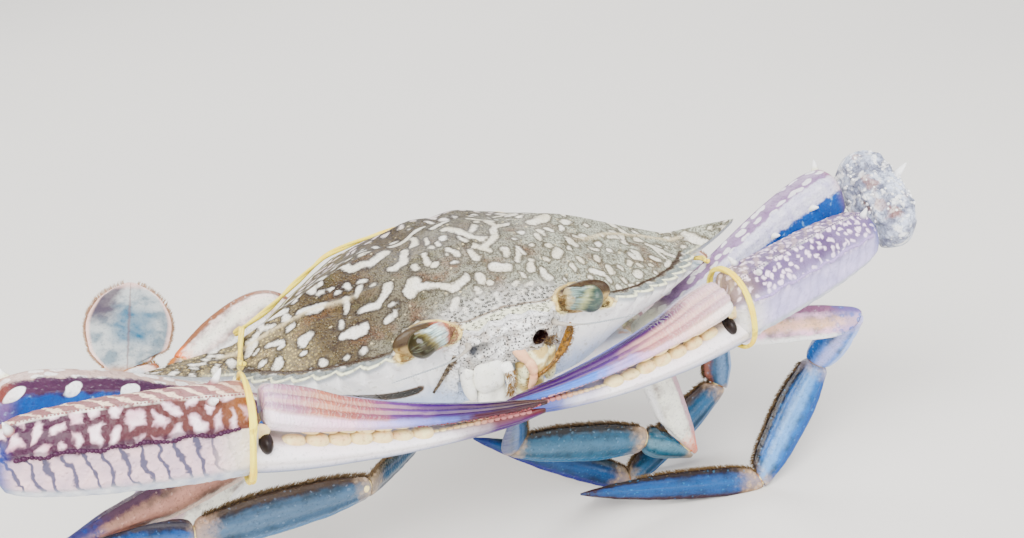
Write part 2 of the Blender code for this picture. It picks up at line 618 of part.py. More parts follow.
SWIM = {                                   # joints as on the walking legs; the right paddle is held up
    "right_leg5": dict(front=(0.1, -0.55, 0.85), joints=[
        (-35.5, 28.0, -22.0), (-44.0, 35.0, -13.0), (-67.0, 29.5, -20.0), (-70.0, 19.5, -26.5),
        (-82.0, 27.0, -17.0), (-74.3, 52.0, -4.0)]),
    "left_leg5": dict(front=(-0.1, -0.35, 0.94), joints=[
        (35.5, 28.0, -22.0), (44.0, 34.0, -17.0), (69.0, 33.0, -27.0), (72.0, 23.0, -34.0),
        (84.0, 28.0, -34.0), (80.0, 54.0, -36.0)]),
}


SWIM_TABLES = {
    "merus": [(0.0, 2.6, 2.4), (0.05, 3.8, 3.2), (0.35, 5.4, 3.4), (0.65, 5.4, 3.2), (1.0, 3.4, 2.4)],
    "carpus": [(0.0, 3.2, 2.2), (0.3, 4.8, 2.6), (0.7, 5.2, 2.6), (1.0, 3.4, 2.0)],
    "propodus": [(0.0, 3.4, 1.8), (0.3, 5.8, 2.2), (0.7, 6.2, 2.0), (1.0, 3.4, 1.4)],
    "paddle": [(0.0, 2.6, 1.2), (0.1, 5.4, 1.3), (0.3, 9.8, 1.3), (0.55, 11.0, 1.1), (0.8, 8.6, 0.8),
               (0.94, 4.4, 0.5), (1.0, 1.2, 0.3)],
}


# ------------------------------------------------------------------ elastic band

BAND_HALF = 0.8
BAND_CLEAR = 0.4
RING_AT = 0.95                             # along the palm


def tube(name, route, samples, closed=False):
    """Round elastic along a route; a closed one is a ring."""
    marks = [k / samples for k in range(samples if closed else samples + 1)]
    points = [curve(route, t) for t in marks]
    rings = []
    last = np.array([0.3, 0.2, 1.0])
    for k, here in enumerate(points):
        before = points[k - 1] if closed or k else here
        after = points[(k + 1) % len(points)] if closed or k + 1 < len(points) else here
        ahead = unit(after - before)
        last = unit(last - np.dot(last, ahead) * ahead)
        other = np.cross(ahead, last)
        rings.append([here + BAND_HALF * (last * math.cos(a) + other * math.sin(a))
                      for a in (2 * math.pi * n / 6 for n in range(6))])
    if not closed:
        put(name, *strips(rings), BAND)
        return
    count = len(rings[0])
    made, faces = strips(rings, closed_ends=False)
    turn = min(range(count), key=lambda n: np.linalg.norm(rings[0][n] - rings[-1][0]))
    for k in range(count):
        a, b = (len(rings) - 1) * count + k, (len(rings) - 1) * count + (k + 1) % count
        faces.append((a, b, (k + 1 + turn) % count, (k + turn) % count))
    put(name, made, faces, BAND)


def claw_ring(name):
    """Band round the palm, just behind the fingers."""
    spec = CLAWS[name]
    here, ahead, face, up = frame_at(spec["palm"], RING_AT, FRONT)
    wide, thick = blend_table(palm_table(spec), RING_AT)
    away = BAND_HALF + BAND_CLEAR
    count = 20
    route = []
    for k in range(count + 1):
        a = 2 * math.pi * k / count
        c, s = math.cos(a), math.sin(a)
        power = 2.0 / 2.3
        u = math.copysign(abs(c) ** power, c) * (wide + away)
        v = math.copysign(abs(s) ** power, s) * (thick + away)
        route.append(here + up * u + face * v)
    tube(f"{name}_claw_band", route, count, closed=True)


def shell_height(x, y):
    """Height of the shell's upper side at a place in plan, inside the bare margin."""
    angle = plan_angle((x, y))
    margin = bare_margin()
    edge_z = float(np.interp(abs(angle), [plan_angle(p) for p in margin], [p[2] for p in margin]))
    r = min(1.0, float(np.linalg.norm(np.array([x, y]) - HUB)) / notch_radius(angle))
    return float(shell_top(r, angle, edge_z)[2])


def back_route():
    """The band's way from the right claw over the shell's shoulder, round its rear, to the left claw."""
    away = BAND_HALF + BAND_CLEAR
    start = [(-63.5, -42.0, 12.6), (-62.4, -32.0, 7.6), (-61.0, -22.0, 1.4)]
    shoulder = [(-59.4, -12.0), (-57.4, -5.0), (-55.6, 1.0)]
    over = [(x, y, shell_height(x, y) + away + 2.2) for x, y in shoulder]
    over.append((-56.2, 5.4, -3.4))
    rear = []
    for side, points in ((-1, REAR[1:-1]), (1, REAR[:0:-1])):
        for x, y, z in points:
            out = unit([side * x * 0.55, y, 0.0])
            rear.append((side * x + out[0] * (away + 0.6), y + out[1] * (away + 0.6), z + 0.5))
    end = [(54.0, 9.6, -9.0), (61.6, 3.0, -12.2), (64.2, -2.5, -11.6), (65.4, -6.5, -10.1), (65.2, -10.5, -8.6),
           (63.6, -15.0, -7.2), (62.0, -18.2, -5.4)]
    return start + over + rear + end


def build():
    for old in list(bpy.data.objects):
        bpy.data.objects.remove(old, do_unlink=True)
    shell()
    face()
    thorax()
    tail_flap()
    for side in (1, -1):
        eye(side)
        mouthpart(side)
        antenna(side)
    for name in CLAWS:
        claw(name)
        claw_ring(name)
    tube("back_band", back_route(), 44)
    for name, spec in LEGS.items():
        leg(name, spec, LEG_TABLES, 10)
    for name, spec in SWIM.items():
        leg(name, spec, SWIM_TABLES, 12)


build()
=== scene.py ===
"""Looks of the blue swimming crab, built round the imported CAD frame.

Lengths are millimetres in the crab's own frame: origin at the middle of the shell's margin plane, +X to the
crab's left, -Y ahead, +Z up. BODY_AT moves that frame into the row frame, whose floor is z = 0.
"""
import math

import bpy
from mathutils import Matrix, Vector
import numpy as np


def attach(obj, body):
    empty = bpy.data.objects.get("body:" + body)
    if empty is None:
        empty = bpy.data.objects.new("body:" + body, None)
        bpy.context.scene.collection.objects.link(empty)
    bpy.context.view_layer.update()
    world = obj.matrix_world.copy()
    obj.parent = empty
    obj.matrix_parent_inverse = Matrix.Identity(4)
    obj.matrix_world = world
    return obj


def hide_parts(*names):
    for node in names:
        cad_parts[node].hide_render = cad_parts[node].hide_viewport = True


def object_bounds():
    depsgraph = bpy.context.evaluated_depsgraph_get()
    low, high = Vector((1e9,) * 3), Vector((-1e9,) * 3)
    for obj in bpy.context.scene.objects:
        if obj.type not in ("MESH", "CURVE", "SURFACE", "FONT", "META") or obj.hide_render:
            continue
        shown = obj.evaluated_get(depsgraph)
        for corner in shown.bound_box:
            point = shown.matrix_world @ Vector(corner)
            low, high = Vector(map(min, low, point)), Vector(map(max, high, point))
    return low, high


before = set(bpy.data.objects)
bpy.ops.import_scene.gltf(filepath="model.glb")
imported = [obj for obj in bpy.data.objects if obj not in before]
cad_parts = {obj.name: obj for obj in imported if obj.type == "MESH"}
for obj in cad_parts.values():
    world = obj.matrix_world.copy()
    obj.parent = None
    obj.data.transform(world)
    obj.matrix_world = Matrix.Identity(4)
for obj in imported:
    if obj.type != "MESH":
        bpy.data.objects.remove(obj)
cad_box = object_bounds()

MM = 0.001
BODY_AT = np.array([1.9, 2.9, 82.0])
FLOOR_Z = -82.0
GAP = 0.35
BOX_LOW, BOX_HIGH = (np.array(corner) / MM - BODY_AT for corner in cad_box)
FRONT = np.array([0.0, -1.0, 0.0])
ASKEW = np.array([0.31, 0.52, 0.79])       # along no axis of the crab, to start a frame from


# ------------------------------------------------------------------ small maths

def unit(v):
    v = np.asarray(v, float)
    return v / np.linalg.norm(v, axis=-1, keepdims=True)


def mirror(p, side):
    """The point on the crab's left (side 1) or right (side -1)."""
    return np.array([side * p[0], p[1], p[2]], float)


def ease(x, low, high):
    """0 below low, 1 above high, smooth between; works on arrays and either way round."""
    t = np.clip((np.asarray(x, float) - low) / (high - low), 0.0, 1.0)
    return t * t * (3.0 - 2.0 * t)


def squared(v, power):
    """A power that keeps the sign, which turns circles into rounded squares."""
    return np.sign(v) * np.abs(v) ** power


def across(way, ahead):
    """The direction nearest to way that is square to ahead."""
    return unit(way - np.dot(way, ahead) * ahead)


def circle(count):
    """Angles of evenly spaced points round a circle."""
    return 2 * np.pi * np.arange(count) / count


def hump(x, middle, width):
    return np.exp(-((np.asarray(x, float) - middle) / width) ** 2)


def smooth_table(table, t):
    """Columns of the table read at t along a curve that keeps each row and doesn't overshoot."""
    table = np.asarray(table, float)
    x, t = table[:, 0], np.asarray(t, float)
    found = []
    for k in range(1, table.shape[1]):
        y = table[:, k]
        h, d = np.diff(x), np.diff(y) / np.diff(x)
        m = np.zeros(len(x))
        m[0], m[-1] = d[0], d[-1]
        for n in range(1, len(x) - 1):
            if d[n - 1] * d[n] > 0:
                w1, w2 = 2 * h[n] + h[n - 1], h[n] + 2 * h[n - 1]
                m[n] = (w1 + w2) / (w1 / d[n - 1] + w2 / d[n])
        i = np.clip(np.searchsorted(x, t, side="right") - 1, 0, len(x) - 2)
        s = (t - x[i]) / h[i]
        found.append(y[i] * (1 + 2 * s) * (1 - s) ** 2 + m[i] * h[i] * s * (1 - s) ** 2
                     + y[i + 1] * s * s * (3 - 2 * s) + m[i + 1] * h[i] * s * s * (s - 1))
    return found


def lattice(ix, iy, iz, seed):
    n = (ix * 374761393 + iy * 668265263 + iz * 1274126177 + seed * 69069) & 0xFFFFFFFF
    n = ((n ^ (n >> 13)) * 1103515245 + 12345) & 0xFFFFFFFF
    return ((n ^ (n >> 16)) & 0xFFFF) / 32767.5 - 1.0


def noise(points, size, seed=0):
    """Smooth noise from -1 to 1 with features about size across."""
    q = np.asarray(points, float) / size
    i = np.floor(q).astype(np.int64)
    f = q - i
    f = f * f * (3 - 2 * f)
    total = 0.0
    for dx in (0, 1):
        for dy in (0, 1):
            for dz in (0, 1):
                weight = ((f[..., 0] if dx else 1 - f[..., 0]) * (f[..., 1] if dy else 1 - f[..., 1])
                          * (f[..., 2] if dz else 1 - f[..., 2]))
                total = total + weight * lattice(i[..., 0] + dx, i[..., 1] + dy, i[..., 2] + dz, seed)
    return total


def curve(route, t):
    """Point at t on a Catmull-Rom curve through the route's points, as in the CAD."""
    route = [np.asarray(p, float) for p in route]
    if len(route) == 2:
        return route[0] + (route[1] - route[0]) * t
    lengths = [np.linalg.norm(b - a) for a, b in zip(route, route[1:])]
    marks = np.concatenate([[0.0], np.cumsum(lengths)]) / sum(lengths)
    k = max(min(int(np.searchsorted(marks, t, side="right")) - 1, len(route) - 2), 0)
    u = (t - marks[k]) / (marks[k + 1] - marks[k])
    p1, p2 = route[k], route[k + 1]
    p0 = route[k - 1] if k > 0 else 2 * p1 - p2
    p3 = route[k + 2] if k + 2 < len(route) else 2 * p2 - p1
    return 0.5 * (2 * p1 + (p2 - p0) * u + (2 * p0 - 5 * p1 + 4 * p2 - p3) * u ** 2
                  + (3 * p1 - p0 - 3 * p2 + p3) * u ** 3)


def longer(route, start, end):
    """The route with its first and last steps drawn out."""
    route = [np.asarray(p, float) for p in route]
    route[0] = route[0] - unit(route[1] - route[0]) * start
    route[-1] = route[-1] + unit(route[-1] - route[-2]) * end
    return route


def miter(before, joint, after):
    """The two cuts that leave the gap at a joint, each a point and the way beyond it."""
    joint = np.asarray(joint, float)
    way = unit(unit(joint - before) + unit(after - joint))
    return (joint - way * GAP / 2, way), (joint + way * GAP / 2, -way)


# ------------------------------------------------------------------ materials

LIGHT = 2.2                                # how bright the studio makes a white matt surface
SHEEN = 0.016                              # what the pale room adds to every surface by reflection
FILM_IN, FILM_OUT, FILM_POWER = 0.0885, 0.0568, 2.44
FILM_STOPS, FILM_DARKEST = 16.5, -12.47393  # the film's range in stops, and where it starts
PAINT_RANGE = (0.003, 0.9)                 # no surface is darker or lighter than this
LOG_LIGHT = np.linspace(0.0, 1.0, 400)
FILM = (15.5 * LOG_LIGHT ** 6 - 40.14 * LOG_LIGHT ** 5 + 31.96 * LOG_LIGHT ** 4 - 6.868 * LOG_LIGHT ** 3
        + 0.4298 * LOG_LIGHT ** 2 + 0.1191 * LOG_LIGHT - 0.00232)


def blend_channels(amount):
    return (1.0 - 3.0 * amount) * np.eye(3) + amount * np.ones((3, 3))


def tone(r, g, b):
    """The surface colour that shows as the given 0-255 values under this studio's light and film curve."""
    value = np.array([r, g, b]) / 255.0
    value = np.where(value <= 0.04045, value / 12.92,
                     ((value + 0.055) / 1.055) ** 2.4) ** (1.0 / FILM_POWER)
    mixed = 2.0 ** (np.interp(blend_channels(FILM_OUT) @ value, FILM, LOG_LIGHT) * FILM_STOPS
                    + FILM_DARKEST)
    light = np.linalg.inv(blend_channels(FILM_IN)) @ mixed / LIGHT - SHEEN
    return tuple(float(c) for c in np.clip(light, *PAINT_RANGE)) + (1.0,)


WET = dict(coat_weight=0.15, coat_roughness=0.15)      # the thin wet coat that most parts have


def as_color(color):
    """A 0-255 triple as a surface colour; anything else as it is."""
    return tone(*color) if isinstance(color, tuple) and len(color) == 3 else color


class Paint:
    """A node material, written as short calls that return sockets."""

    def __init__(self, name, roughness=0.4, **sockets):
        self.made = bpy.data.materials.new(name)
        self.made.use_nodes = True
        self.tree = self.made.node_tree
        self.shader = self.tree.nodes["Principled BSDF"]
        self.shader.inputs["Roughness"].default_value = roughness
        self.shader.inputs["Specular IOR Level"].default_value = 0.22
        for key, value in sockets.items():
            self.shader.inputs[key.replace("_", " ").title().replace("Ior", "IOR")].default_value = value

    def put(self, socket, value):
        if isinstance(value, bpy.types.NodeSocket):
            self.tree.links.new(value, socket)
        elif value is not None:
            socket.default_value = value

    def node(self, kind, inputs=(), **settings):
        made = self.tree.nodes.new("ShaderNode" + kind)
        for key, value in settings.items():
            setattr(made, key, value)
        for key, value in dict(inputs).items():
            self.put(made.inputs[key], value)
        return made

    def place(self, scale=(1000.0, 1000.0, 1000.0)):
        """Object coordinates in millimetres."""
        where = self.node("TexCoord").outputs["Object"]
        return self.node("VectorMath", {0: where, 1: scale}, operation="MULTIPLY").outputs[0]

    def attr(self, name):
        return self.node("Attribute", attribute_name=name).outputs["Fac"]

    def math(self, operation, a, b=None, c=None):
        made = self.node("Math", operation=operation)
        for k, value in enumerate((a, b, c)):
            self.put(made.inputs[k], value)
        return made.outputs[0]

    def add(self, a, b):
        return self.math("ADD", a, b)

    def times(self, a, b):
        return self.math("MULTIPLY", a, b)

    def sway(self, x, amount):
        """A value from 0 to 1 made to swing by amount, half each way about zero."""
        return self.times(self.math("SUBTRACT", x, 0.5), amount)

    def step(self, x, low, high):
        made = self.node("MapRange", {"Value": x, "From Min": low, "From Max": high},
                         interpolation_type="SMOOTHSTEP", clamp=True)
        return made.outputs["Result"]

    def noise(self, where, size, detail=2.0, roughness=0.5):
        made = self.node("TexNoise", {"Vector": where, "Scale": 1.0 / size, "Detail": detail,
                                      "Roughness": roughness})
        return made.outputs["Fac"]

    def patches(self, where, size, low, high, detail=2.0, roughness=0.5):
        """Noise cut to patches: none below low, full above high."""
        return self.step(self.noise(where, size, detail, roughness), low, high)

    def dots(self, where, size, outside, inside):
        """A dot in each cell, full where the distance to its middle is under inside."""
        return self.step(self.cells(where, size), outside, inside)

    def away(self, x):
        """Distance from zero."""
        return self.math("ABSOLUTE", x)

    def cells(self, where, size, feature="F1", randomness=1.0, flat=False):
        made = self.node("TexVoronoi", {"Vector": where, "Scale": 1.0 / size, "Randomness": randomness},
                         feature=feature, voronoi_dimensions="2D" if flat else "3D")
        return made.outputs["Distance"]

    def warp(self, where, size, amount):
        """The coordinates shifted about by noise."""
        cloud = self.node("TexNoise", {"Vector": where, "Scale": 1.0 / size, "Detail": 1.0})
        shift = self.node("VectorMath", {0: cloud.outputs["Color"], 1: (0.5, 0.5, 0.5)},
                          operation="SUBTRACT")
        scaled = self.node("VectorMath", {0: shift.outputs[0], 3: 2.0 * amount}, operation="SCALE")
        return self.node("VectorMath", {0: where, 1: scaled.outputs[0]}, operation="ADD").outputs[0]

    def vector(self, x, y):
        return self.node("CombineXYZ", {0: x, 1: y}).outputs[0]

    def mix(self, amount, a, b):
        """From a to b by amount; a colour is a socket, a 0-255 triple or four channels."""
        made = self.node("Mix", data_type="RGBA")
        self.put(made.inputs["Factor"], amount)
        self.put(made.inputs[6], as_color(a))
        self.put(made.inputs[7], as_color(b))
        return made.outputs[2]

    def ramp(self, value, *stops):
        made = self.node("ValToRGB", {"Fac": value})
        ramp = made.color_ramp
        while len(ramp.elements) < len(stops):
            ramp.elements.new(0.5)
        for element, (at, color) in zip(ramp.elements, stops):
            element.position = at
            element.color = as_color(color)
        return made.outputs["Color"]

    def color(self, value):
        self.put(self.shader.inputs["Base Color"], value)

    def finish(self, color, *layers):
        """The material itself, with its colour and its height layers."""
        self.color(color)
        if layers:
            self.bump(*layers)
        return self.made

    def rough(self, value):
        self.put(self.shader.inputs["Roughness"], value)

    def bump(self, *layers):
        """Height layers, each (height, depth in millimetres)."""
        last = None
        for height, depth in layers:
            made = self.node("Bump", {"Height": height, "Distance": depth * MM, "Strength": 1.0})
            if last:
                self.put(made.inputs["Normal"], last)
            last = made.outputs["Normal"]
        self.put(self.shader.inputs["Normal"], last)


# ------------------------------------------------------------------ meshes

def grid_faces(rows, cols):
    """Quads of a grid of points, rows by cols, whose last column joins its first."""
    r, c = np.meshgrid(np.arange(rows - 1), np.arange(cols), indexing="ij")
    a, b = r * cols + c, r * cols + (c + 1) % cols
    return np.stack([a, b, b + cols, a + cols], axis=-1).reshape(-1, 4)


BOX_CLEAR = 0.15                           # bristles that end nearer to the CAD box than this are cut short
CUT_SHORT = 0.3


class Mesh:
    """Gathers points, faces and attributes of one visible piece."""

    def __init__(self):
        self.points, self.quads, self.tris = [], [], []
        self.quad_paint, self.tri_paint, self.fields = [], [], {}
        self.count = 0
        self.maps = []

    def add(self, points, quads=(), tris=(), paint=0, fields=None, uv=None):
        points = np.asarray(points, float).reshape(-1, 3)
        for key in set(self.fields) | set(fields or {}):
            had = self.fields.setdefault(key, [np.zeros(self.count)] if self.count else [])
            value = (fields or {}).get(key, 0.0)
            had.append(np.broadcast_to(np.asarray(value, float).ravel() if np.ndim(value) else value,
                                       (len(points),)))
        if len(quads):
            self.quads.append(np.asarray(quads) + self.count)
            self.quad_paint.append(np.full(len(quads), paint))
        if len(tris):
            self.tris.append(np.asarray(tris) + self.count)
            self.tri_paint.append(np.full(len(tris), paint))
        self.points.append(points)
        self.maps.append(np.zeros((len(points), 2)) if uv is None else np.asarray(uv, float))
        self.count += len(points)

    def grid(self, points, paint=0, fields=None):
        """A tube from points shaped (rows, cols, 3), its ends closed by fans and its faces turned out."""
        rows, cols = points.shape[:2]
        flat = points.reshape(-1, 3)
        fields = {k: np.broadcast_to(v, (rows, cols)).ravel() for k, v in (fields or {}).items()}
        quads = grid_faces(rows, cols)
        n = len(flat)
        flat = np.vstack([flat, points[0].mean(0), points[-1].mean(0)])
        fields = {k: np.append(v, [v[:cols].mean(), v[-cols:].mean()]) for k, v in fields.items()}
        k = np.arange(cols)
        tris = np.vstack([np.stack([(k + 1) % cols, k, np.full(cols, n)], 1),
                          np.stack([n - cols + k, n - cols + (k + 1) % cols, np.full(cols, n + 1)], 1)])
        split = np.vstack([tris, quads[:, :3], quads[:, [0, 2, 3]]])
        a, b, c = (flat[split[:, k]] - flat.mean(0) for k in range(3))
        if np.einsum("ij,ij->", a, np.cross(b, c)) < 0:
            quads, tris = quads[:, ::-1], tris[:, ::-1]
        self.add(flat, quads, tris, paint, fields)

    def egg(self, centre, radii, axes=None, paint=0, rows=12, cols=18, fields=None):
        """An ellipsoid; axes are the directions of its three radii."""
        a = np.linspace(0.1, math.pi - 0.1, rows)[:, None]
        b = circle(cols)
        local = np.stack([np.sin(a) * np.cos(b) * radii[0], np.sin(a) * np.sin(b) * radii[1],
                          np.cos(a) * radii[2] + 0 * b], axis=-1)
        axes = np.eye(3) if axes is None else np.array([unit(v) for v in axes])
        points = np.asarray(centre, float) + local @ axes
        points[..., 2] = np.maximum(points[..., 2], FLOOR_Z)
        self.grid(points, paint=paint, fields=fields)

    def spike(self, base, tip, radius, cols=12):
        """A thorn from base to tip."""
        base, tip = np.asarray(base, float), np.asarray(tip, float)
        way = unit(tip - base)
        side = unit(np.cross(way, ASKEW))
        t = np.linspace(0.0, 1.0, 9)
        size = radius * (1.0 - t) ** 0.8 * (1.0 - 0.25 * np.sin(np.pi * t)) + 0.06
        a = circle(cols)
        ring = side * np.cos(a)[:, None] + np.cross(way, side) * np.sin(a)[:, None]
        spine = base + (tip - base) * t[:, None]
        self.grid(spine[:, None] + ring[None] * size[:, None, None],
                  fields={"thorn": t[:, None] + 0 * a[None]})

    def hairs(self, roots, ways, lengths, widths, uv, bend=None, fields=None):
        """Tapering three-sided bristles; each is a small patch on the map at its root's place."""
        n = len(roots)
        lengths, widths = np.broadcast_to(lengths, n), np.broadcast_to(widths, n)
        bend = np.zeros((n, 3)) if bend is None else bend
        tips = roots + (ways + bend) * lengths[:, None]
        far = np.any((tips < BOX_LOW + BOX_CLEAR) | (tips > BOX_HIGH - BOX_CLEAR), axis=1)
        lengths = np.where(far, CUT_SHORT, 1.0) * lengths
        side = unit(np.cross(ways, ASKEW))
        other = np.cross(ways, side)
        rings, maps = [], []
        for t, size in ((0.0, 1.0), (0.34, 0.9), (0.7, 0.6)):
            spot = roots + ways * (lengths * t)[:, None] + bend * (lengths * t * t)[:, None]
            for k in range(3):
                a = 2 * math.pi * k / 3
                rings.append(spot + (side * math.cos(a) + other * math.sin(a)) * (widths * size)[:, None])
                maps.append(uv + np.array([0.0012 * math.cos(a), 0.003 * t - 0.0015]))
        rings.append(roots + ways * lengths[:, None] + bend * lengths[:, None])
        maps.append(uv + np.array([0.0, 0.0015]))
        points, maps = np.stack(rings, 1).reshape(-1, 3), np.stack(maps, 1).reshape(-1, 2)
        first = (np.arange(n) * 10)[:, None]
        quads, tris = [], [first + np.array([[2, 1, 0]])]
        for level in (0, 3):
            for k in range(3):
                m = (k + 1) % 3
                quads.append(first + np.array([[level + k, level + m, level + 3 + m, level + 3 + k]]))
        for k in range(3):
            tris.append(first + np.array([[6 + k, 6 + (k + 1) % 3, 9]]))
        tip = np.tile(np.array([0.0] * 3 + [0.34] * 3 + [0.7] * 3 + [1.0]), n)
        more = {key: np.repeat(np.broadcast_to(v, n), 10) for key, v in (fields or {}).items()}
        self.add(points, np.vstack(quads), np.vstack(tris), fields={"tip": tip, **more}, uv=maps)

    def done(self, name, nodes, slot, paints, uv=False):
        """Make the object, kept inside the CAD box, and give it its place in the frame."""
        points = (np.clip(np.vstack(self.points), BOX_LOW, BOX_HIGH) + BODY_AT) * MM
        mesh = bpy.data.meshes.new(name)
        faces, marks = [], []
        for group, paint in ((self.quads, self.quad_paint), (self.tris, self.tri_paint)):
            if group:
                faces += np.vstack(group).tolist()
                marks.append(np.concatenate(paint))
        mesh.from_pydata(points.tolist(), [], faces)
        mesh.polygons.foreach_set("material_index", np.concatenate(marks).astype(np.int32))
        for key, parts in self.fields.items():
            layer = mesh.attributes.new(key, "FLOAT", "POINT")
            layer.data.foreach_set("value", np.concatenate(parts).astype(np.float32))
        if uv:
            layer = mesh.uv_layers.new(name="OFBake")
            corners = np.zeros(len(mesh.loops), np.int32)
            mesh.loops.foreach_get("vertex_index", corners)
            layer.data.foreach_set("uv", np.vstack(self.maps)[corners].astype(np.float32).ravel())
        for paint in paints:
            mesh.materials.append(paint)
        mesh.update()
        mesh.shade_smooth()
        made = bpy.data.objects.new(name, mesh)
        bpy.context.scene.collection.objects.link(made)
        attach(made, "root")
        if nodes:
            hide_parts(*nodes)
        return made


class Loft:
    """A lofted article: rings along a route, as in the CAD, but finer, with shape added by functions."""

    def __init__(self, route, front, table, rows=110, cols=64, square=2.0, cuts=(), grow=None,
                 round_start=0.0, round_end=0.0, soft=1.2, tuck=0.72):
        route = [np.asarray(p, float) for p in route]
        t = np.linspace(0.0, 1.0, rows)
        t = 0.65 * t + 0.35 * (0.5 - 0.5 * np.cos(np.pi * t))
        here = np.array([curve(route, k) for k in t])
        ahead = unit(np.array([curve(route, min(k + 0.01, 1.0)) - curve(route, max(k - 0.01, 0.0))
                               for k in t]))
        front = np.asarray(front, float)
        face = unit(front - (ahead @ front)[:, None] * ahead)
        up = np.cross(ahead, face)
        size = smooth_table(table, t)
        wide, thick = size[0][:, None], size[1][:, None]
        a = circle(cols)
        c, s = np.cos(a)[None], np.sin(a)[None]
        power = 2.0 / square
        u, v = squared(c, power) * wide, squared(s, power) * thick
        self.sign = 1.0 if up[:, 2].mean() > 0 else -1.0
        self.length = float(np.linalg.norm(np.diff(here, axis=0), axis=1).sum())
        self.t = t[:, None] + 0 * c
        self.lift = self.sign * c + 0 * t[:, None]
        self.front = s + 0 * t[:, None]
        self.turn = np.arctan2(self.front, self.lift)
        self.here, self.ahead, self.up, self.face = here, ahead, up * self.sign, face
        self.wide, self.thick = wide, thick
        if grow is not None:
            out_u, out_v = u / wide ** 2, v / thick ** 2
            size = np.sqrt(out_u ** 2 + out_v ** 2) + 1e-9
            extra = grow(self)
            u, v = u + extra * out_u / size, v + extra * out_v / size
        d = t * self.length
        for reach, left in ((round_start, d), (round_end, self.length - d)):
            if reach:
                q = 1.0 - np.clip(left / reach, 0.0, 1.0)
                f = np.sqrt(np.maximum(1.0 - q ** 2, 0.0016))[:, None]
                u, v = u * f, v * f
        points = here[:, None] + up[:, None] * u[..., None] + face[:, None] * v[..., None]
        for point, beyond in cuts:
            axis, ahead3 = here[:, None], ahead[:, None] + 0 * points
            past = (points - point) @ beyond
            q = 1.0 - np.clip(-past / soft, 0.0, 1.0)
            f = tuck + (1.0 - tuck) * np.sqrt(np.maximum(1.0 - q ** 2, 0.0))
            points = axis + (points - axis) * f[..., None]
            past = np.maximum((points - point) @ beyond, 0.0)
            slope = ahead3 @ beyond
            points = points - ahead3 * (past / np.where(np.abs(slope) < 0.2, 1.0, slope))[..., None]
        points[..., 2] = np.maximum(points[..., 2], FLOOR_Z)
        self.points = points

    def fields(self):
        girth = self.turn * (self.wide + self.thick) / 2
        return {"along": self.t, "lift": self.lift, "front": self.front, "reach": self.t * self.length,
                "girth": girth, "turn": self.turn}

    def mesh(self):
        """A new piece that starts with this article."""
        made = Mesh()
        made.grid(self.points, fields=self.fields())
        return made

    def at(self, t, turn):
        """Points on the surface at t and turn (0 up, a quarter turn to the front), normals, ways ahead."""
        t, turn = np.broadcast_arrays(np.atleast_1d(t).astype(float), np.atleast_1d(turn).astype(float))
        rows, cols = self.points.shape[:2]
        a = (turn if self.sign > 0 else np.pi - turn) % (2 * np.pi)
        i = np.interp(t, self.t[:, 0], np.arange(rows))
        i0 = np.clip(np.floor(i).astype(int), 0, rows - 2)
        j = a / (2 * np.pi) * cols
        j0 = np.floor(j).astype(int) % cols
        j1, fi, fj = (j0 + 1) % cols, (i - i0)[:, None], (j - np.floor(j))[:, None]
        p = self.points
        near = p[i0, j0] * (1 - fj) + p[i0, j1] * fj
        far = p[i0 + 1, j0] * (1 - fj) + p[i0 + 1, j1] * fj
        place = near * (1 - fi) + far * fi
        normal = np.cross(far - near, p[i0, j1] - p[i0, j0])
        normal = normal / (np.linalg.norm(normal, axis=1, keepdims=True) + 1e-9)
        out = np.sign(np.einsum("ij,ij->i", normal, place - self.here[i0]))[:, None]
        return place, normal * out, self.ahead[i0]


# ------------------------------------------------------------------ shell outline, as in the CAD

DOME = 12.6
SHELL_FLOOR = -20.0
HUB = np.array([0.0, 1.0])
FRONT_TEETH = [
    (0.0, -34.2, 3.6), (2.6, -35.8, 3.4), (5.2, -34.4, 3.2), (8.8, -37.0, 2.7), (11.2, -34.2, 2.5),
    (13.6, -34.8, 2.3), (16.6, -31.4, 2.0), (20.6, -30.4, 1.0), (24.4, -31.2, -0.2), (28.0, -33.6, -1.6),
]
SIDE_FROM, SIDE_BULGE, SIDE_TO = (29.8, -30.6, -1.8), (50.5, -25.8, -4.8), (60.6, -9.6, -6.6)
SIDE_TEETH = 7
TOOTH_OUT = 2.4
SPINE_TIP = (80.3, -1.3, -4.2)
SPINE = [(69.0, -6.9, -5.9), SPINE_TIP, (70.0, -1.4, -5.6), (61.0, 0.2, -6.0)]
REAR = [(53.0, 6.0, -5.8), (44.0, 15.4, -5.0), (35.0, 24.0, -4.2), (28.5, 29.2, -3.2), (24.0, 32.0, -2.2),
        (16.0, 33.4, -1.2), (8.0, 33.9, -0.6), (0.0, 34.0, -0.4)]
ORBIT_AT, ORBIT_RADII, ORBIT_TILT = (20.2, -34.3, 0.9), (8.2, 7.0, 4.1), 13.0
FACE_HALF, FACE_BACK, FACE_TOP = 12.6, -28.0, 0.6


def socket_turn(side):
    """Cosine and sine of an eye socket's tilt."""
    tilt = math.radians(side * ORBIT_TILT)
    return math.cos(tilt), math.sin(tilt)


def side_curve(t):
    a, b, c = (np.array(p) for p in (SIDE_FROM, SIDE_BULGE, SIDE_TO))
    return a * (1 - t) ** 2 + 2 * b * t * (1 - t) + c * t ** 2


def side_teeth():
    points = []
    for k in range(SIDE_TEETH):
        t0, t1 = k / SIDE_TEETH, (k + 0.62) / SIDE_TEETH
        along = unit(side_curve(t1 + 0.01) - side_curve(t1 - 0.01))
        out = unit([along[1], -along[0], 0.0])
        out = out if out[0] > 0 else -out
        points.append(side_curve(t0))
        points.append(side_curve(t1) + out * TOOTH_OUT + along * 0.6)
    return points + [np.array(SIDE_TO)]


def plan_angle(p):
    p = np.asarray(p, float)
    return np.arctan2(p[..., 0] - HUB[0], -(p[..., 1] - HUB[1]))


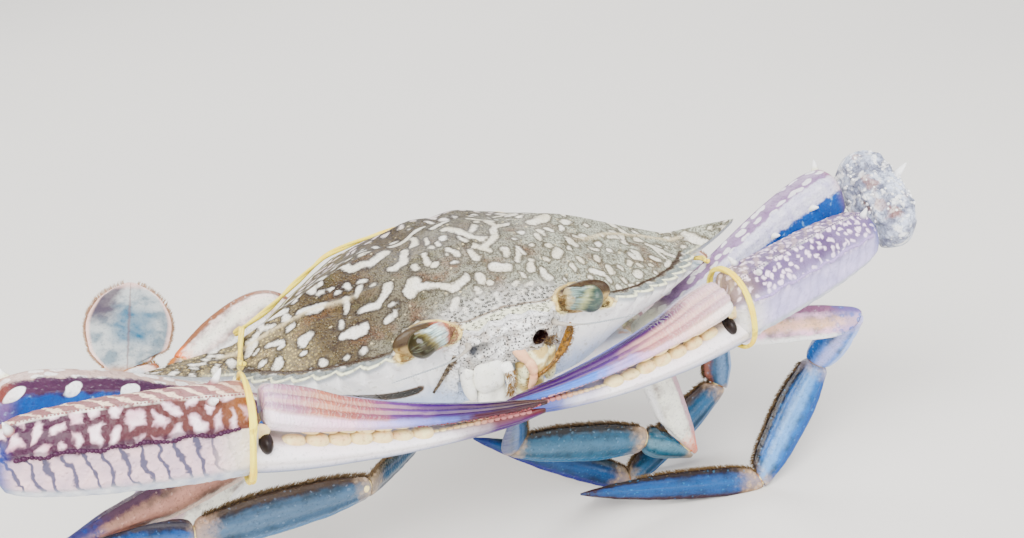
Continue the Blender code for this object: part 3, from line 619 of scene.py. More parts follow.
def bare_margin():
    front = [np.array(FRONT_TEETH[k]) for k in (0, 2, 4, 6, 8)]
    side = [side_curve(t) for t in np.linspace(0, 1, 9)]
    return np.array(front + side + [np.array(p) for p in SPINE[3:] + REAR])


MARGIN = bare_margin()
MARGIN_ANGLE = plan_angle(MARGIN)
MARGIN_REACH = np.linalg.norm(MARGIN[:, :2] - HUB, axis=1)


def notch_radius(angle):
    """Reach of the margin from the hub at an angle, teeth left out."""
    return np.interp(np.abs(angle), MARGIN_ANGLE, MARGIN_REACH)


def foot_radius(angle):
    """Reach of the shell's lower edge from the hub."""
    marks = np.radians([0, 25, 45, 65, 90, 115, 140, 160, 180])
    return np.interp(np.abs(angle), marks, [29.5, 31.5, 34.5, 37.0, 36.0, 32.5, 33.0, 31.0, 29.0])


def relief(x, y):
    """Bosses and grooves of the shell, as in the CAD."""
    x = np.abs(x)

    def bump(cx, cy, rx, ry, high):
        return high * np.exp(-((x - cx) / rx) ** 2 - ((y - cy) / ry) ** 2)
    high = bump(9, -14, 8, 8, 1.0) + bump(0, -2, 6, 7, 0.7) + bump(22, -14, 8, 7, 0.7)
    high = high + bump(6, 17, 6, 6, 1.2) + bump(28, 4, 13, 10, 1.5) + bump(20, 20, 8, 7, 0.8)
    high = high - bump(14, 4, 4, 9, 1.3) - bump(11, 24, 4, 5, 0.9) - bump(33, -12, 5, 5, 0.7)
    high = high - bump(0, 9, 8, 2.6, 0.9)
    return high


def ridge(x, y, points, width, high):
    """A low raised line through points in plan."""
    x = np.abs(x)
    best = np.full(np.shape(x), 1e9)
    for (ax, ay), (bx, by) in zip(points, points[1:]):
        t = np.clip(((x - ax) * (bx - ax) + (y - ay) * (by - ay)) / ((bx - ax) ** 2 + (by - ay) ** 2), 0, 1)
        best = np.minimum(best, np.hypot(x - ax - t * (bx - ax), y - ay - t * (by - ay)))
    return high * np.exp(-(best / width) ** 2)


SHOULDER_RIDGE = [(62.0, -3.6), (50.0, -4.4), (40.0, -6.6), (31.0, -10.4), (25.0, -12.6)]
STOMACH_RIDGE = [(0.0, -9.0), (6.0, -9.4), (13.0, -8.4)]
BROW_RIDGE = [(3.0, -19.0), (9.0, -20.4), (15.0, -19.8)]

SLIT_SHADOW_AT = (-30.0, -14.0)                   # middle of the painted shadow of the gap in the wall under the right eye: x and z
SLIT_SHADOW_HALF = 9.5


MARGIN_STEP = 0.62


def fine_outline():
    """The left half of the margin in short steps."""
    corners = [np.array(p, float) for p in FRONT_TEETH] + side_teeth()
    corners += [np.array(p, float) for p in SPINE + REAR]
    count_side = len(FRONT_TEETH) + 2 * SIDE_TEETH
    points = []
    for n, (a, b) in enumerate(zip(corners, corners[1:])):
        span = np.linalg.norm(b - a)
        steps = max(3, int(round(span / MARGIN_STEP)))
        way = unit(b - a)
        out = np.array([-way[1], way[0], 0.0])
        middle = (a + b) / 2
        if np.dot(out[:2], middle[:2] - HUB) < 0:
            out = -out
        toothed = 4 <= n < count_side
        swell = 0.1 if toothed else 0.02
        if n >= count_side + 3:
            swell = 0.015
        for k in range(steps):
            t = k / steps
            points.append(a + (b - a) * t + out * swell * span * math.sin(math.pi * t))
    points.append(corners[-1])
    return np.array(points)


def dome(r):
    """Height of the smooth shell, from the middle (r 0) to the margin (r 1)."""
    return DOME * (1.0 - 1.35 * r ** 2 + 0.35 * r ** 4)


def shell_z(x, y, edge_z, r):
    fine = ridge(x, y, SHOULDER_RIDGE, 0.9, 0.55) + ridge(x, y, STOMACH_RIDGE, 0.8, 0.35)
    fine = fine + ridge(x, y, BROW_RIDGE, 0.9, 0.35)
    return edge_z * r ** 2 + dome(r) + (relief(x, y) + fine) * (1.0 - r ** 6)


def blobs(seed, spacing, bounds_xy, keep):
    """Short rounded bars scattered over the plan, as (ax, ay, bx, by, radius) rows."""
    rng = np.random.default_rng(seed)
    (x0, x1), (y0, y1) = bounds_xy
    rows = []
    for i in range(int((x1 - x0) / spacing)):
        for j in range(int((y1 - y0) / (spacing * 0.86))):
            x = x0 + (i + 0.5 * (j % 2)) * spacing + rng.uniform(-0.33, 0.33) * spacing
            y = y0 + j * spacing * 0.86 + rng.uniform(-0.33, 0.33) * spacing
            turn = math.pi / 2 + rng.normal(0.0, 0.75)
            half = max(0.0, rng.gamma(2.0, 0.42) - 0.3)
            radius = rng.uniform(0.42, 0.98)
            if rng.uniform() > keep(x, y):
                continue
            dx, dy = half * math.cos(turn), half * math.sin(turn)
            rows.append((x - dx, y - dy, x + dx, y + dy, radius))
    return rows


NO_SPOT = 9.0                              # stands for a place far from every spot


def blob_distance(x, y, rows):
    best = np.full(x.shape, NO_SPOT)
    for ax, ay, bx, by, radius in rows:
        dx, dy = bx - ax, by - ay
        t = np.clip(((x - ax) * dx + (y - ay) * dy) / (dx * dx + dy * dy + 1e-9), 0, 1)
        best = np.minimum(best, np.hypot(x - ax - t * dx, y - ay - t * dy) - radius)
    return best


# Bold marks of the shell's upper side, each a bent bar through a few places, with its half-width.
BOLD_MARKS = [
    ([(-29.0, 2.0), (-27.6, -2.0), (-23.0, -3.6), (-18.0, -1.0)], 1.04),
    ([(-19.5, -9.0), (-16.0, -8.0), (-13.6, -3.6)], 0.96),
    ([(-29.5, -15.5), (-26.0, -17.0), (-22.0, -13.6)], 1.04),
    ([(-15.0, 3.0), (-10.5, 3.4), (-6.0, 6.0)], 0.96),
    ([(-18.0, -17.4), (-16.2, -15.4)], 1.60),
    ([(-42.0, -5.0), (-37.0, -7.5)], 1.12),
    ([(-4.5, 2.0), (0.5, 3.8)], 0.80),
    ([(-44.0, -14.0), (-42.6, -13.6)], 1.36),
    ([(-36.0, -19.5), (-31.5, -20.5)], 1.20),
    ([(8.0, -8.0), (10.0, -3.6), (14.0, -2.6)], 0.96),
    ([(20.0, -4.0), (25.5, -1.5)], 1.04),
    ([(-9.0, -22.0), (-4.6, -21.0)], 0.96),
    ([(3.0, -19.0), (6.5, -20.6)], 1.04),
]


def mark_rows():
    rows = []
    for points, radius in BOLD_MARKS:
        for (ax, ay), (bx, by) in zip(points, points[1:]):
            rows.append((ax, ay, bx, by, radius))
    return rows


SPOT_SHIFT, SPOT_RAGGED = 0.7, 0.22        # how far the spots' outlines wander, and their roughness
SPOT_SPACING, SPOT_ROOM, SPOT_SHARE = 4.15, 1.9, 0.86


def spot_field(x, y):
    """Distance in millimetres to the nearest pale spot, negative inside one."""
    marks = mark_rows()

    def keep(px, py):
        near = blob_distance(np.array([px]), np.array([py]), marks)[0]
        return 0.0 if near < SPOT_ROOM else SPOT_SHARE
    rows = marks + blobs(11, SPOT_SPACING, ((-80.0, 82.0), (-36.0, 36.0)), keep)
    p = np.stack([x, y, np.zeros_like(x)], axis=-1)
    ragged = SPOT_RAGGED * noise(p, 1.3, 5)
    shift_x, shift_y = (SPOT_SHIFT * noise(p, 3.0, seed) for seed in (3, 4))
    return blob_distance(x + shift_x, y + shift_y, rows) + ragged


def carapace():
    """The shell; returns its points as they are before the sockets and the mouth's bay are pressed in."""
    half = fine_outline()
    outline = np.vstack([half, half[-2:0:-1] * [-1, 1, 1]])
    cols = len(outline)
    angle = plan_angle(outline)
    n_half = len(half)
    steady = np.maximum.accumulate(angle[:n_half])
    kernel = np.ones(5) / 5
    padded = np.concatenate([-steady[2:0:-1], steady, 2 * np.pi - steady[-2:-4:-1]])
    steady = np.convolve(padded, kernel, "valid")[:n_half]
    base = np.concatenate([steady, -steady[-2:0:-1]])
    base_z = outline[:, 2]
    way = np.stack([np.sin(base), -np.cos(base)], 1)
    reach = notch_radius(base)
    rings = []
    inner = np.concatenate([np.linspace(0.015, 0.9, 74), np.linspace(0.91, 0.965, 6)])
    for r in inner:
        xy = HUB + way * (reach * r)[:, None]
        z = shell_z(xy[:, 0], xy[:, 1], base_z, r)
        rings.append(np.column_stack([xy, z]))
    start = rings[-1]
    slope = (rings[-1] - rings[-2]) / 0.011 * 0.035
    for t in np.linspace(0.0, 1.0, 11)[1:]:
        flat = start + (outline - start) * t
        flat[:, 2] += slope[:, 2] * t * (1 - t) * (1 - t) * 0.5 + 0.5 * math.sin(math.pi * t) * 0.35
        rings.append(flat)
    top_rows = len(rings)
    notch = np.minimum(notch_radius(angle), np.linalg.norm(outline[:, :2] - HUB, axis=1) - 0.6)
    out = np.linalg.norm(outline[:, :2] - HUB, axis=1)
    foot = foot_radius(angle)
    aim = np.stack([np.sin(angle), -np.cos(angle)], 1)
    depth = np.minimum(outline[:, 2], -1.0)
    knots = [(out, outline[:, 2]), (out - 0.5, outline[:, 2] - 1.3), (notch - 0.4, depth - 4.2),
             (0.42 * notch + 0.58 * foot, np.full(cols, -14.0)), (foot, np.full(cols, SHELL_FLOOR))]
    marks = np.array([0.0, 0.08, 0.3, 0.68, 1.0])
    t = np.linspace(0.0, 1.0, 42)[1:]
    radius = np.array(smooth_table(np.column_stack([marks]
                                                   + [[k[0][c] for k in knots] for c in range(cols)]), t))
    height = np.array(smooth_table(np.column_stack([marks]
                                                   + [[k[1][c] for k in knots] for c in range(cols)]), t))
    swell = 0.8 * np.sin(np.pi * np.clip((t - 0.3) / 0.7, 0, 1))
    for k in range(len(t)):
        xy = HUB + aim * (radius[:, k] + swell[k] * ease(angle ** 2, 0.3, 0.8))[:, None]
        rings.append(np.column_stack([xy, height[:, k]]))
    points = np.array(rings)
    socket, pit = np.zeros(points.shape[:2]), np.zeros(points.shape[:2])
    whole = points.copy()
    # orbits: what lies inside the socket's ellipsoid is pressed back onto its wall
    for side in (1, -1):
        centre = mirror(ORBIT_AT, side)
        c, s = socket_turn(side)
        d = points - centre
        u, w = c * d[..., 0] - s * d[..., 2], s * d[..., 0] + c * d[..., 2]
        inside = 1.0 - (u / ORBIT_RADII[0]) ** 2 - (w / ORBIT_RADII[2]) ** 2
        size = np.sqrt((u / ORBIT_RADII[0]) ** 2 + (w / ORBIT_RADII[2]) ** 2)
        wall = centre[1] + ORBIT_RADII[1] * np.sqrt(np.maximum(inside, 0.0))
        sunk = (inside > 0) & (points[..., 1] < wall) & (points[..., 1] > -40)
        by = sunk | ((size < 1.4) & (points[..., 1] < -24.0) & (points[..., 0] * side > 0))
        spots_in, spots_by = whole[sunk], whole[by]
        off = np.array([np.linalg.norm(spots_in - spot, axis=1).min() for spot in spots_by])
        socket[by] = np.maximum(socket[by], 1.0 - ease(off, 0.5, 1.2))
        pit[sunk] = (wall - points[..., 1])[sunk]
        points[..., 1] = np.where(sunk, wall, points[..., 1])
    # the mouth and feelers sit in a bay under the front
    bay = (np.abs(points[..., 0]) < FACE_HALF) & (points[..., 2] < FACE_TOP) & (points[..., 1] < FACE_BACK)
    points[..., 1] = np.where(bay, FACE_BACK, points[..., 1])
    top = np.zeros(points.shape[:2])
    top[:top_rows] = 1.0
    edge = np.zeros(points.shape[:2])
    place = np.concatenate([inner, 0.965 + 0.035 * np.linspace(0.0, 1.0, 11)[1:]])
    edge[:top_rows] = reach[None] * (1.0 - place[:, None])
    spot = np.full(points.shape[:2], NO_SPOT)
    spot[:top_rows] = spot_field(points[:top_rows, :, 0], points[:top_rows, :, 1])
    down = np.zeros(points.shape[:2])
    down[top_rows:] = t[:, None]
    line = np.zeros(points.shape[:2])
    line[:top_rows] = ridge(points[:top_rows, :, 0], points[:top_rows, :, 1], SHOULDER_RIDGE, 0.55, 1.0)
    made = Mesh()
    # where the wall gets the painted shadow of the gap above the right finger
    slit = np.zeros(points.shape[:2])
    place = points[top_rows:]
    bow = SLIT_SHADOW_AT[1] + 1.1 * ((place[..., 0] - SLIT_SHADOW_AT[0]) / SLIT_SHADOW_HALF) ** 2
    inside = 1.0 - ((place[..., 0] - SLIT_SHADOW_AT[0]) / SLIT_SHADOW_HALF) ** 2
    slit[top_rows:] = np.clip(inside, 0, 1) ** 0.5 * hump(place[..., 2], bow, 1.15) * (place[..., 1] < -18)
    made.grid(points, fields={"top": top, "edge": edge, "spot": spot, "down": down, "line": line,
                              "socket": socket, "slit": slit, "pit": pit})
    made.done("shell", ["carapace"], "shell", [shell_paint()])
    return whole


def shell_paint():
    p = Paint("shell_paint", roughness=0.38, coat_weight=0.1, coat_roughness=0.25)
    where = p.place()
    axes = p.node("SeparateXYZ", {0: where})
    x = p.add(axes.outputs[0], -BODY_AT[0])
    y = p.add(axes.outputs[1], -BODY_AT[1])
    top, spot, down, edge = p.attr("top"), p.attr("spot"), p.attr("down"), p.attr("edge")
    fine = p.noise(where, 0.5, 2.0, 0.7)
    grain = p.cells(where, 0.8)
    broad = p.noise(where, 14.0, 3.0, 0.55)
    middle = p.noise(where, 4.0, 3.0, 0.6)
    width = p.away(x)
    # olive ground, greyer and paler ahead and to the left
    lean = p.add(p.add(p.times(x, 0.0125), p.times(y, -0.012)), p.times(broad, 0.9))
    pale = p.step(lean, 0.08, 1.2)
    ground = p.mix(pale, (114, 97, 70), (192, 193, 185))
    ground = p.mix(p.times(p.step(middle, 0.48, 0.74), 0.6), ground,
                   p.mix(pale, (154, 138, 106), (212, 213, 206)))
    murk = p.patches(where, 3.0, 0.5, 0.68, 3.0, 0.65)
    ground = p.mix(p.times(murk, 0.8), ground, p.mix(pale, (72, 56, 38), (136, 128, 110)))
    rust = p.times(p.patches(where, 9.0, 0.5, 0.66), p.step(y, 8.0, -12.0))
    ground = p.mix(p.times(rust, 0.55), ground, (146, 108, 84))
    olive = p.times(p.patches(where, 7.0, 0.54, 0.68), p.step(x, 20.0, -10.0))
    ground = p.mix(p.times(olive, 0.5), ground, (116, 110, 70))
    speck = p.step(fine, 0.46, 0.6)
    ground = p.mix(p.times(speck, 0.8), ground, p.mix(pale, (70, 58, 40), (104, 98, 84)))
    ground = p.mix(p.times(p.step(grain, 0.34, 0.08), 0.34), ground,
                   p.mix(pale, (196, 188, 158), (222, 221, 212)))
    # small pale dots between the spots
    dot = p.cells(p.warp(where, 1.6, 0.7), 2.1, "F1", 0.9)
    dotted = p.times(p.step(dot, 0.2, 0.1), p.patches(where, 5.0, 0.42, 0.56))
    ground = p.mix(p.times(dotted, 0.7), ground, (214, 208, 190))
    # the near corner is crusted with pale yellow grains
    crust = p.times(p.step(p.add(x, p.times(middle, 9.0)), -34.0, -44.0), p.step(y, 6.0, -4.0))
    ground = p.mix(p.times(crust, 0.3), ground, (196, 190, 172))
    ground = p.mix(p.times(p.times(crust, p.dots(where, 0.75, 0.5, 0.2)), 0.4), ground, (220, 212, 182))
    # pale spots with a dark outline
    ragged = p.add(spot, p.sway(p.noise(where, 0.9, 2.0, 0.65), 1.0))
    outline = p.times(p.step(ragged, 1.1, 0.3), p.step(ragged, -0.1, 0.2))
    ground = p.mix(p.times(outline, 0.85), ground, p.mix(pale, (62, 46, 30), (122, 114, 96)))
    cream = p.mix(p.noise(where, 6.0), (204, 198, 178), (234, 232, 222))
    cream = p.mix(p.times(p.step(x, -10.0, -50.0), 0.5), cream, (222, 224, 224))
    cream = p.mix(p.times(p.step(y, 6.0, 20.0), 0.5), cream, (214, 202, 210))
    cream = p.mix(p.times(p.step(fine, 0.5, 0.62), 0.4), cream, (176, 168, 146))
    color = p.mix(p.step(ragged, 0.42, -0.36), ground, cream)
    color = p.mix(p.times(p.times(p.attr("line"), 0.7), p.step(width, 26.0, 34.0)), color, (212, 206, 190))
    # side teeth: pale points, a blue grey line behind them and a brown one behind that
    ahead = p.step(p.add(y, p.times(width, 0.12)), 2.0, -4.0)
    side = p.times(ahead, p.step(width, 26.0, 30.0))
    near_edge = p.add(edge, p.sway(middle, 1.4))
    color = p.mix(p.times(side, p.times(p.step(near_edge, 2.6, 2.0), p.step(near_edge, 1.2, 1.7))), color,
                  (88, 70, 48))
    color = p.mix(p.times(p.times(side, p.step(near_edge, 1.4, 1.0)), 0.85), color, (158, 164, 164))
    color = p.mix(p.times(side, p.step(edge, 0.5, 0.15)), color, (224, 221, 210))
    # rear margin: a grey rim with a thin white line inside it
    rear = p.step(y, 0.0, 3.0)
    color = p.mix(p.times(rear, p.step(edge, 1.7, 1.3)), color, (120, 114, 110))
    color = p.mix(p.times(rear, p.step(p.away(p.add(edge, -1.7)), 0.3, 0.12)), color, (226, 220, 208))
    # the front between the eyes: greyish froth with dark specks, then a thin ochre and brown line
    froth = p.times(p.step(p.add(y, p.times(middle, 4.0)), -21.0, -28.0), p.step(width, 20.0, 12.0))
    foam = p.mix(p.noise(where, 1.4, 3.0), (236, 234, 228), (180, 176, 166))
    drawn = p.place((1000.0, 560.0, 1000.0))
    dots = p.times(p.dots(drawn, 0.5, 0.34, 0.2), p.patches(where, 1.7, 0.5, 0.6, 3.0, 0.7))
    foam = p.mix(p.times(dots, 0.85), foam, (70, 62, 52))
    color = p.mix(p.times(froth, 0.62), color, foam)
    brow = p.times(p.step(width, 17.0, 14.0), p.step(y, -24.0, -26.0))
    color = p.mix(p.times(p.times(brow, p.step(p.away(p.add(near_edge, -2.3)), 0.5, 0.15)), 0.7), color,
                  (138, 110, 74))
    color = p.mix(p.times(p.times(brow, p.step(near_edge, 1.9, 1.3)), 0.6), color, (232, 226, 212))
    # ochre lip of the eye sockets
    lip = p.mix(p.noise(where, 1.4, 3.0), (180, 156, 116), (222, 210, 184))
    color = p.mix(p.times(p.attr("socket"), 0.8), color, lip)
    # painted shade: darker brown the deeper a place is pressed into the socket
    deep = p.step(p.attr("pit"), 0.3, 1.6)
    color = p.mix(p.times(deep, 0.9), color, (78, 54, 38))
    # smooth white wall below, with painted shade in blue grey lower down, and the painted shadow of the gap
    # over the right finger
    wall = p.mix(p.step(p.add(down, p.times(middle, 0.3)), 0.62, 1.05), (247, 244, 236), (196, 203, 214))
    edge_line = p.times(p.step(down, 0.14, 0.04), p.step(width, 28.0, 31.0))
    wall = p.mix(p.times(edge_line, 0.7), wall, (140, 150, 158))
    wall = p.mix(p.times(p.patches(where, 1.3, 0.6, 0.7), 0.4), wall, (176, 170, 156))
    wall = p.mix(p.times(p.patches(where, 6.0, 0.52, 0.66), 0.14), wall, (176, 186, 202))
    wall = p.mix(p.times(p.step(y, 2.0, 14.0), 0.45), wall, (196, 182, 148))
    wall = p.mix(p.times(p.attr("socket"), 0.7), wall, p.mix(0.5, lip, (240, 230, 204)))
    # the same painted shade deep in the sockets, on the wall too
    wall = p.mix(p.times(deep, 0.75), wall, (120, 98, 70))
    # painted shadow of the gap between the wall and the right finger: a brown edge round a nearly black
    # middle
    slit = p.attr("slit")
    wall = p.mix(p.step(slit, 0.08, 0.3), wall, (126, 100, 72))
    wall = p.mix(p.step(slit, 0.24, 0.44), wall, (26, 20, 14))
    p.color(p.mix(top, wall, color))
    p.rough(p.mix(top, (0.3,) * 3 + (1.0,), (0.45,) * 3 + (1.0,)))
    heavy = p.times(top, p.step(ragged, -0.6, 0.6))
    p.bump((p.times(p.step(grain, 0.5, 0.0), p.add(0.25, heavy)), 0.35), (p.times(fine, top), 0.2),
           (p.noise(where, 2.6), 0.22), (p.times(p.step(ragged, 0.2, -0.3), top), 0.16),
           (p.times(froth, p.dots(where, 0.8, 0.6, 0.1)), 0.25))
    return p.made


whole_shell = carapace()


# ------------------------------------------------------------------ patterns shared by the limbs

def speckle(p, where, color, dark, amount=0.35, size=0.5):
    """Fine dark dots over a colour."""
    return p.mix(p.times(p.step(p.noise(where, size, 2.0, 0.7), 0.54, 0.7), amount), color, dark)


def thorn_tips(p, color, tip=(238, 232, 226)):
    return p.mix(p.step(p.attr("thorn"), 0.25, 0.6), color, tip)


# ------------------------------------------------------------------ claws

CLAWS = {
    "right": dict(
        side=-1,
        merus=[(-41.5, -17.2, -23.0), (-50.0, -18.6, -19.0), (-68.0, -21.5, -9.0), (-92.0, -26.0, 2.5),
               (-114.8, -30.7, 10.8)],
        carpus=[(-121.6, -22.5, 13.0), (-122.8, -38.5, 10.4), (-121.8, -54.5, 8.4)],
        palm=[(-115.8, -47.0, 8.8), (-90.0, -49.6, 5.8), (-64.0, -51.0, 2.2)],
        tip=(3.0, -45.0, -16.6), spines=3.6, palm_height=1.0, sag=(2.9, 2.2)),
    "left": dict(
        side=1,
        merus=[(41.5, -17.0, -23.2), (52.0, -13.2, -21.2), (70.0, -10.8, -15.5), (92.0, -8.0, -6.6),
               (110.3, -6.5, -0.1)],
        carpus=[(117.6, 0.6, 3.0), (119.0, -13.0, -3.4), (117.2, -27.0, -10.2)],
        palm=[(111.4, -20.1, -8.4), (86.0, -24.0, -12.4), (61.2, -27.6, -16.0)],
        tip=(-6.0, -40.0, -17.2), spines=1.6, palm_height=0.94, sag=(3.2, 3.2)),
}
MERUS_TABLE = [(0.0, 3.0, 2.8), (0.03, 4.2, 3.8), (0.14, 4.6, 4.0), (0.3, 5.6, 4.8), (0.5, 7.2, 5.4),
               (0.7, 8.4, 5.8), (0.86, 8.8, 6.2), (0.96, 7.4, 5.4), (1.0, 4.6, 3.4)]
CARPUS_TABLE = [(0.0, 3.0, 3.8), (0.1, 5.4, 7.0), (0.35, 7.0, 9.2), (0.62, 7.0, 9.0), (0.85, 5.8, 7.4),
                (1.0, 3.0, 4.0)]
PALM_TABLE = [(0.0, 4.8, 4.0), (0.05, 7.2, 5.8), (0.18, 8.9, 7.0), (0.45, 10.2, 7.6), (0.75, 10.6, 7.6),
              (0.95, 10.4, 7.2), (1.0, 10.2, 6.8)]
FIXED_TABLE = [(0.0, 4.0, 5.5), (0.14, 4.3, 5.7), (0.4, 3.3, 4.5), (0.7, 2.2, 3.0), (0.9, 1.3, 1.8),
               (1.0, 0.35, 0.35)]
MOVING_TABLE = [(0.0, 3.9, 4.6), (0.04, 4.6, 6.0), (0.12, 4.7, 6.2), (0.28, 3.5, 5.5), (0.49, 2.5, 4.3),
                (0.7, 1.7, 3.1), (0.9, 1.0, 1.7), (1.0, 0.35, 0.35)]
PALM_SQUARE = 2.3                          # how square the palm's rings are; 2 would be round
FIXED_ROOT = 5.3                           # the fixed finger's root below the hinge's middle
MOVING_ROOT = 4.7                          # the moving finger's root above it


def palm_table(spec):
    """The palm's half sizes: the left hand is the slimmer one."""
    return [(t, wide * spec["palm_height"], thick) for t, wide, thick in PALM_TABLE]


def finger_route(hinge, tip, lift, bow):
    hinge, tip = np.asarray(hinge, float), np.asarray(tip, float)
    return [hinge + (tip - hinge) * t + np.asarray(lift) * bow * math.sin(math.pi * t) ** 0.9
            for t in (0.0, 0.25, 0.5, 0.75, 1.0)]


def finger_axes(spec):
    hinge = np.array(spec["palm"][-1])
    ahead = unit(np.array(spec["tip"]) - hinge)
    face = across(FRONT, ahead)
    up = np.cross(ahead, face)
    return hinge, ahead, up if up[2] > 0 else -up


def rib(turn, middle, width, high):
    """A lengthwise ridge at an angle round the article."""
    off = (turn - middle + math.pi) % (2 * math.pi) - math.pi
    return high * np.exp(-(off / width) ** 2)


def palm_shape(loft):
    turn, t = loft.turn, loft.t
    ends = ease(t, 0.02, 0.12)
    top = 0.12 + 0.34 * t
    grain = noise(np.stack([t * 60, turn * 8, 0 * t * turn], -1), 0.9, 5) * 0.12
    out = rib(turn, top, 0.1, 0.55) + rib(turn, -0.55, 0.12, 0.4) + rib(turn, 1.28, 0.09, 0.4)
    out = out + rib(turn, 2.05, 0.12, 0.25) - rib(turn, 0.75, 0.25, 0.25) - rib(turn, 1.65, 0.22, 0.35)
    return out * ends + grain * ends - 0.35


def moving_shape(loft):
    turn, t = loft.turn, loft.t
    near = ease(t, 0.0, 0.05) * (1.0 - 0.6 * ease(t, 0.8, 1.0))
    size = (loft.wide + loft.thick) / 9.0
    out = rib(turn, -0.1, 0.16, 0.6) + rib(turn, 0.5, 0.13, 0.5) + rib(turn, 1.02, 0.13, 0.5)
    out = out + rib(turn, 1.62, 0.16, 0.45) + rib(turn, -0.9, 0.16, 0.4) - rib(turn, 1.32, 0.1, 0.3)
    out = out - rib(turn, 0.22, 0.1, 0.3) - rib(turn, 0.77, 0.1, 0.3)
    under = rib(turn, math.pi, 0.9, 0.6) * ease(t, 0.05, 0.16) * (1.0 - ease(t, 0.5, 0.75))
    under = under - rib(turn, math.pi, 0.7, 0.45) * ease(t, 0.7, 0.85)
    return (out - 0.25) * near * size - under


def fixed_shape(loft):
    turn, t = loft.turn, loft.t
    near = ease(t, 0.02, 0.12) * (1.0 - 0.6 * ease(t, 0.8, 1.0))
    size = (loft.wide + loft.thick) / 8.0
    out = (rib(turn, 1.5, 0.2, 0.4) + rib(turn, 2.3, 0.2, 0.4) - rib(turn, 1.9, 0.16, 0.3)
           + rib(turn, -1.9, 0.3, 0.3))
    over = rib(turn, 0.0, 0.85, 1.3) * ease(t, 0.12, 0.22) * (1.0 - ease(t, 0.55, 0.8))
    over = over - rib(turn, 0.0, 0.7, 0.5) * ease(t, 0.7, 0.85)
    return (out - 0.2) * near * size - over


def merus_shape(loft):
    turn, t = loft.turn, loft.t
    ends = ease(t, 0.02, 0.1) * (1.0 - ease(t, 0.93, 1.0))
    out = (rib(turn, 0.8, 0.16, 0.6) + rib(turn, -0.3, 0.2, 0.3) + rib(turn, 2.2, 0.2, 0.4)
           - rib(turn, 1.5, 0.35, 0.5))
    return (out - 0.3) * ends


def carpus_shape(loft):
    turn, t = loft.turn, loft.t
    ends = ease(t, 0.05, 0.2) * (1.0 - ease(t, 0.82, 0.97))
    place = loft.here[:, None] + 6.0 * np.stack([loft.lift, loft.front, 0 * turn * t], -1)
    rough = noise(place, 3.4, 9) * 0.8 + noise(place, 1.5, 10) * 0.35
    return (rough + rib(turn, 0.4, 0.16, 0.9) + rib(turn, -0.9, 0.2, 0.7) + rib(turn, 1.9, 0.2, 0.5)
            - 0.9) * ends


def set_thorns(made, loft, rows):
    """Thorns as in the CAD: (t, angle from the front in degrees, length, lean ahead)."""
    for t, angle, length, lean in rows:
        turn = math.pi / 2 - math.radians(angle)
        place, out, ahead = (v[0] for v in loft.at(t, turn))
        made.spike(place - out * 1.2, place + out * (length - 0.2) + ahead * lean, 1.7)


def granules(made, loft, ts, turns, size, seed, bead=1.0):
    """Rounded beads standing on a surface; the higher bead, the more they take a bead's own colour."""
    rng = np.random.default_rng(seed)
    places, outs, ways = loft.at(ts, turns)
    for place, out, way in zip(places, outs, ways):
        r = size * rng.uniform(0.6, 1.15)
        made.egg(place + out * r * 0.15, (r * 1.1, r, r * 0.8), (way, np.cross(out, way), out), 0, 6, 8,
                 {"bead": bead})


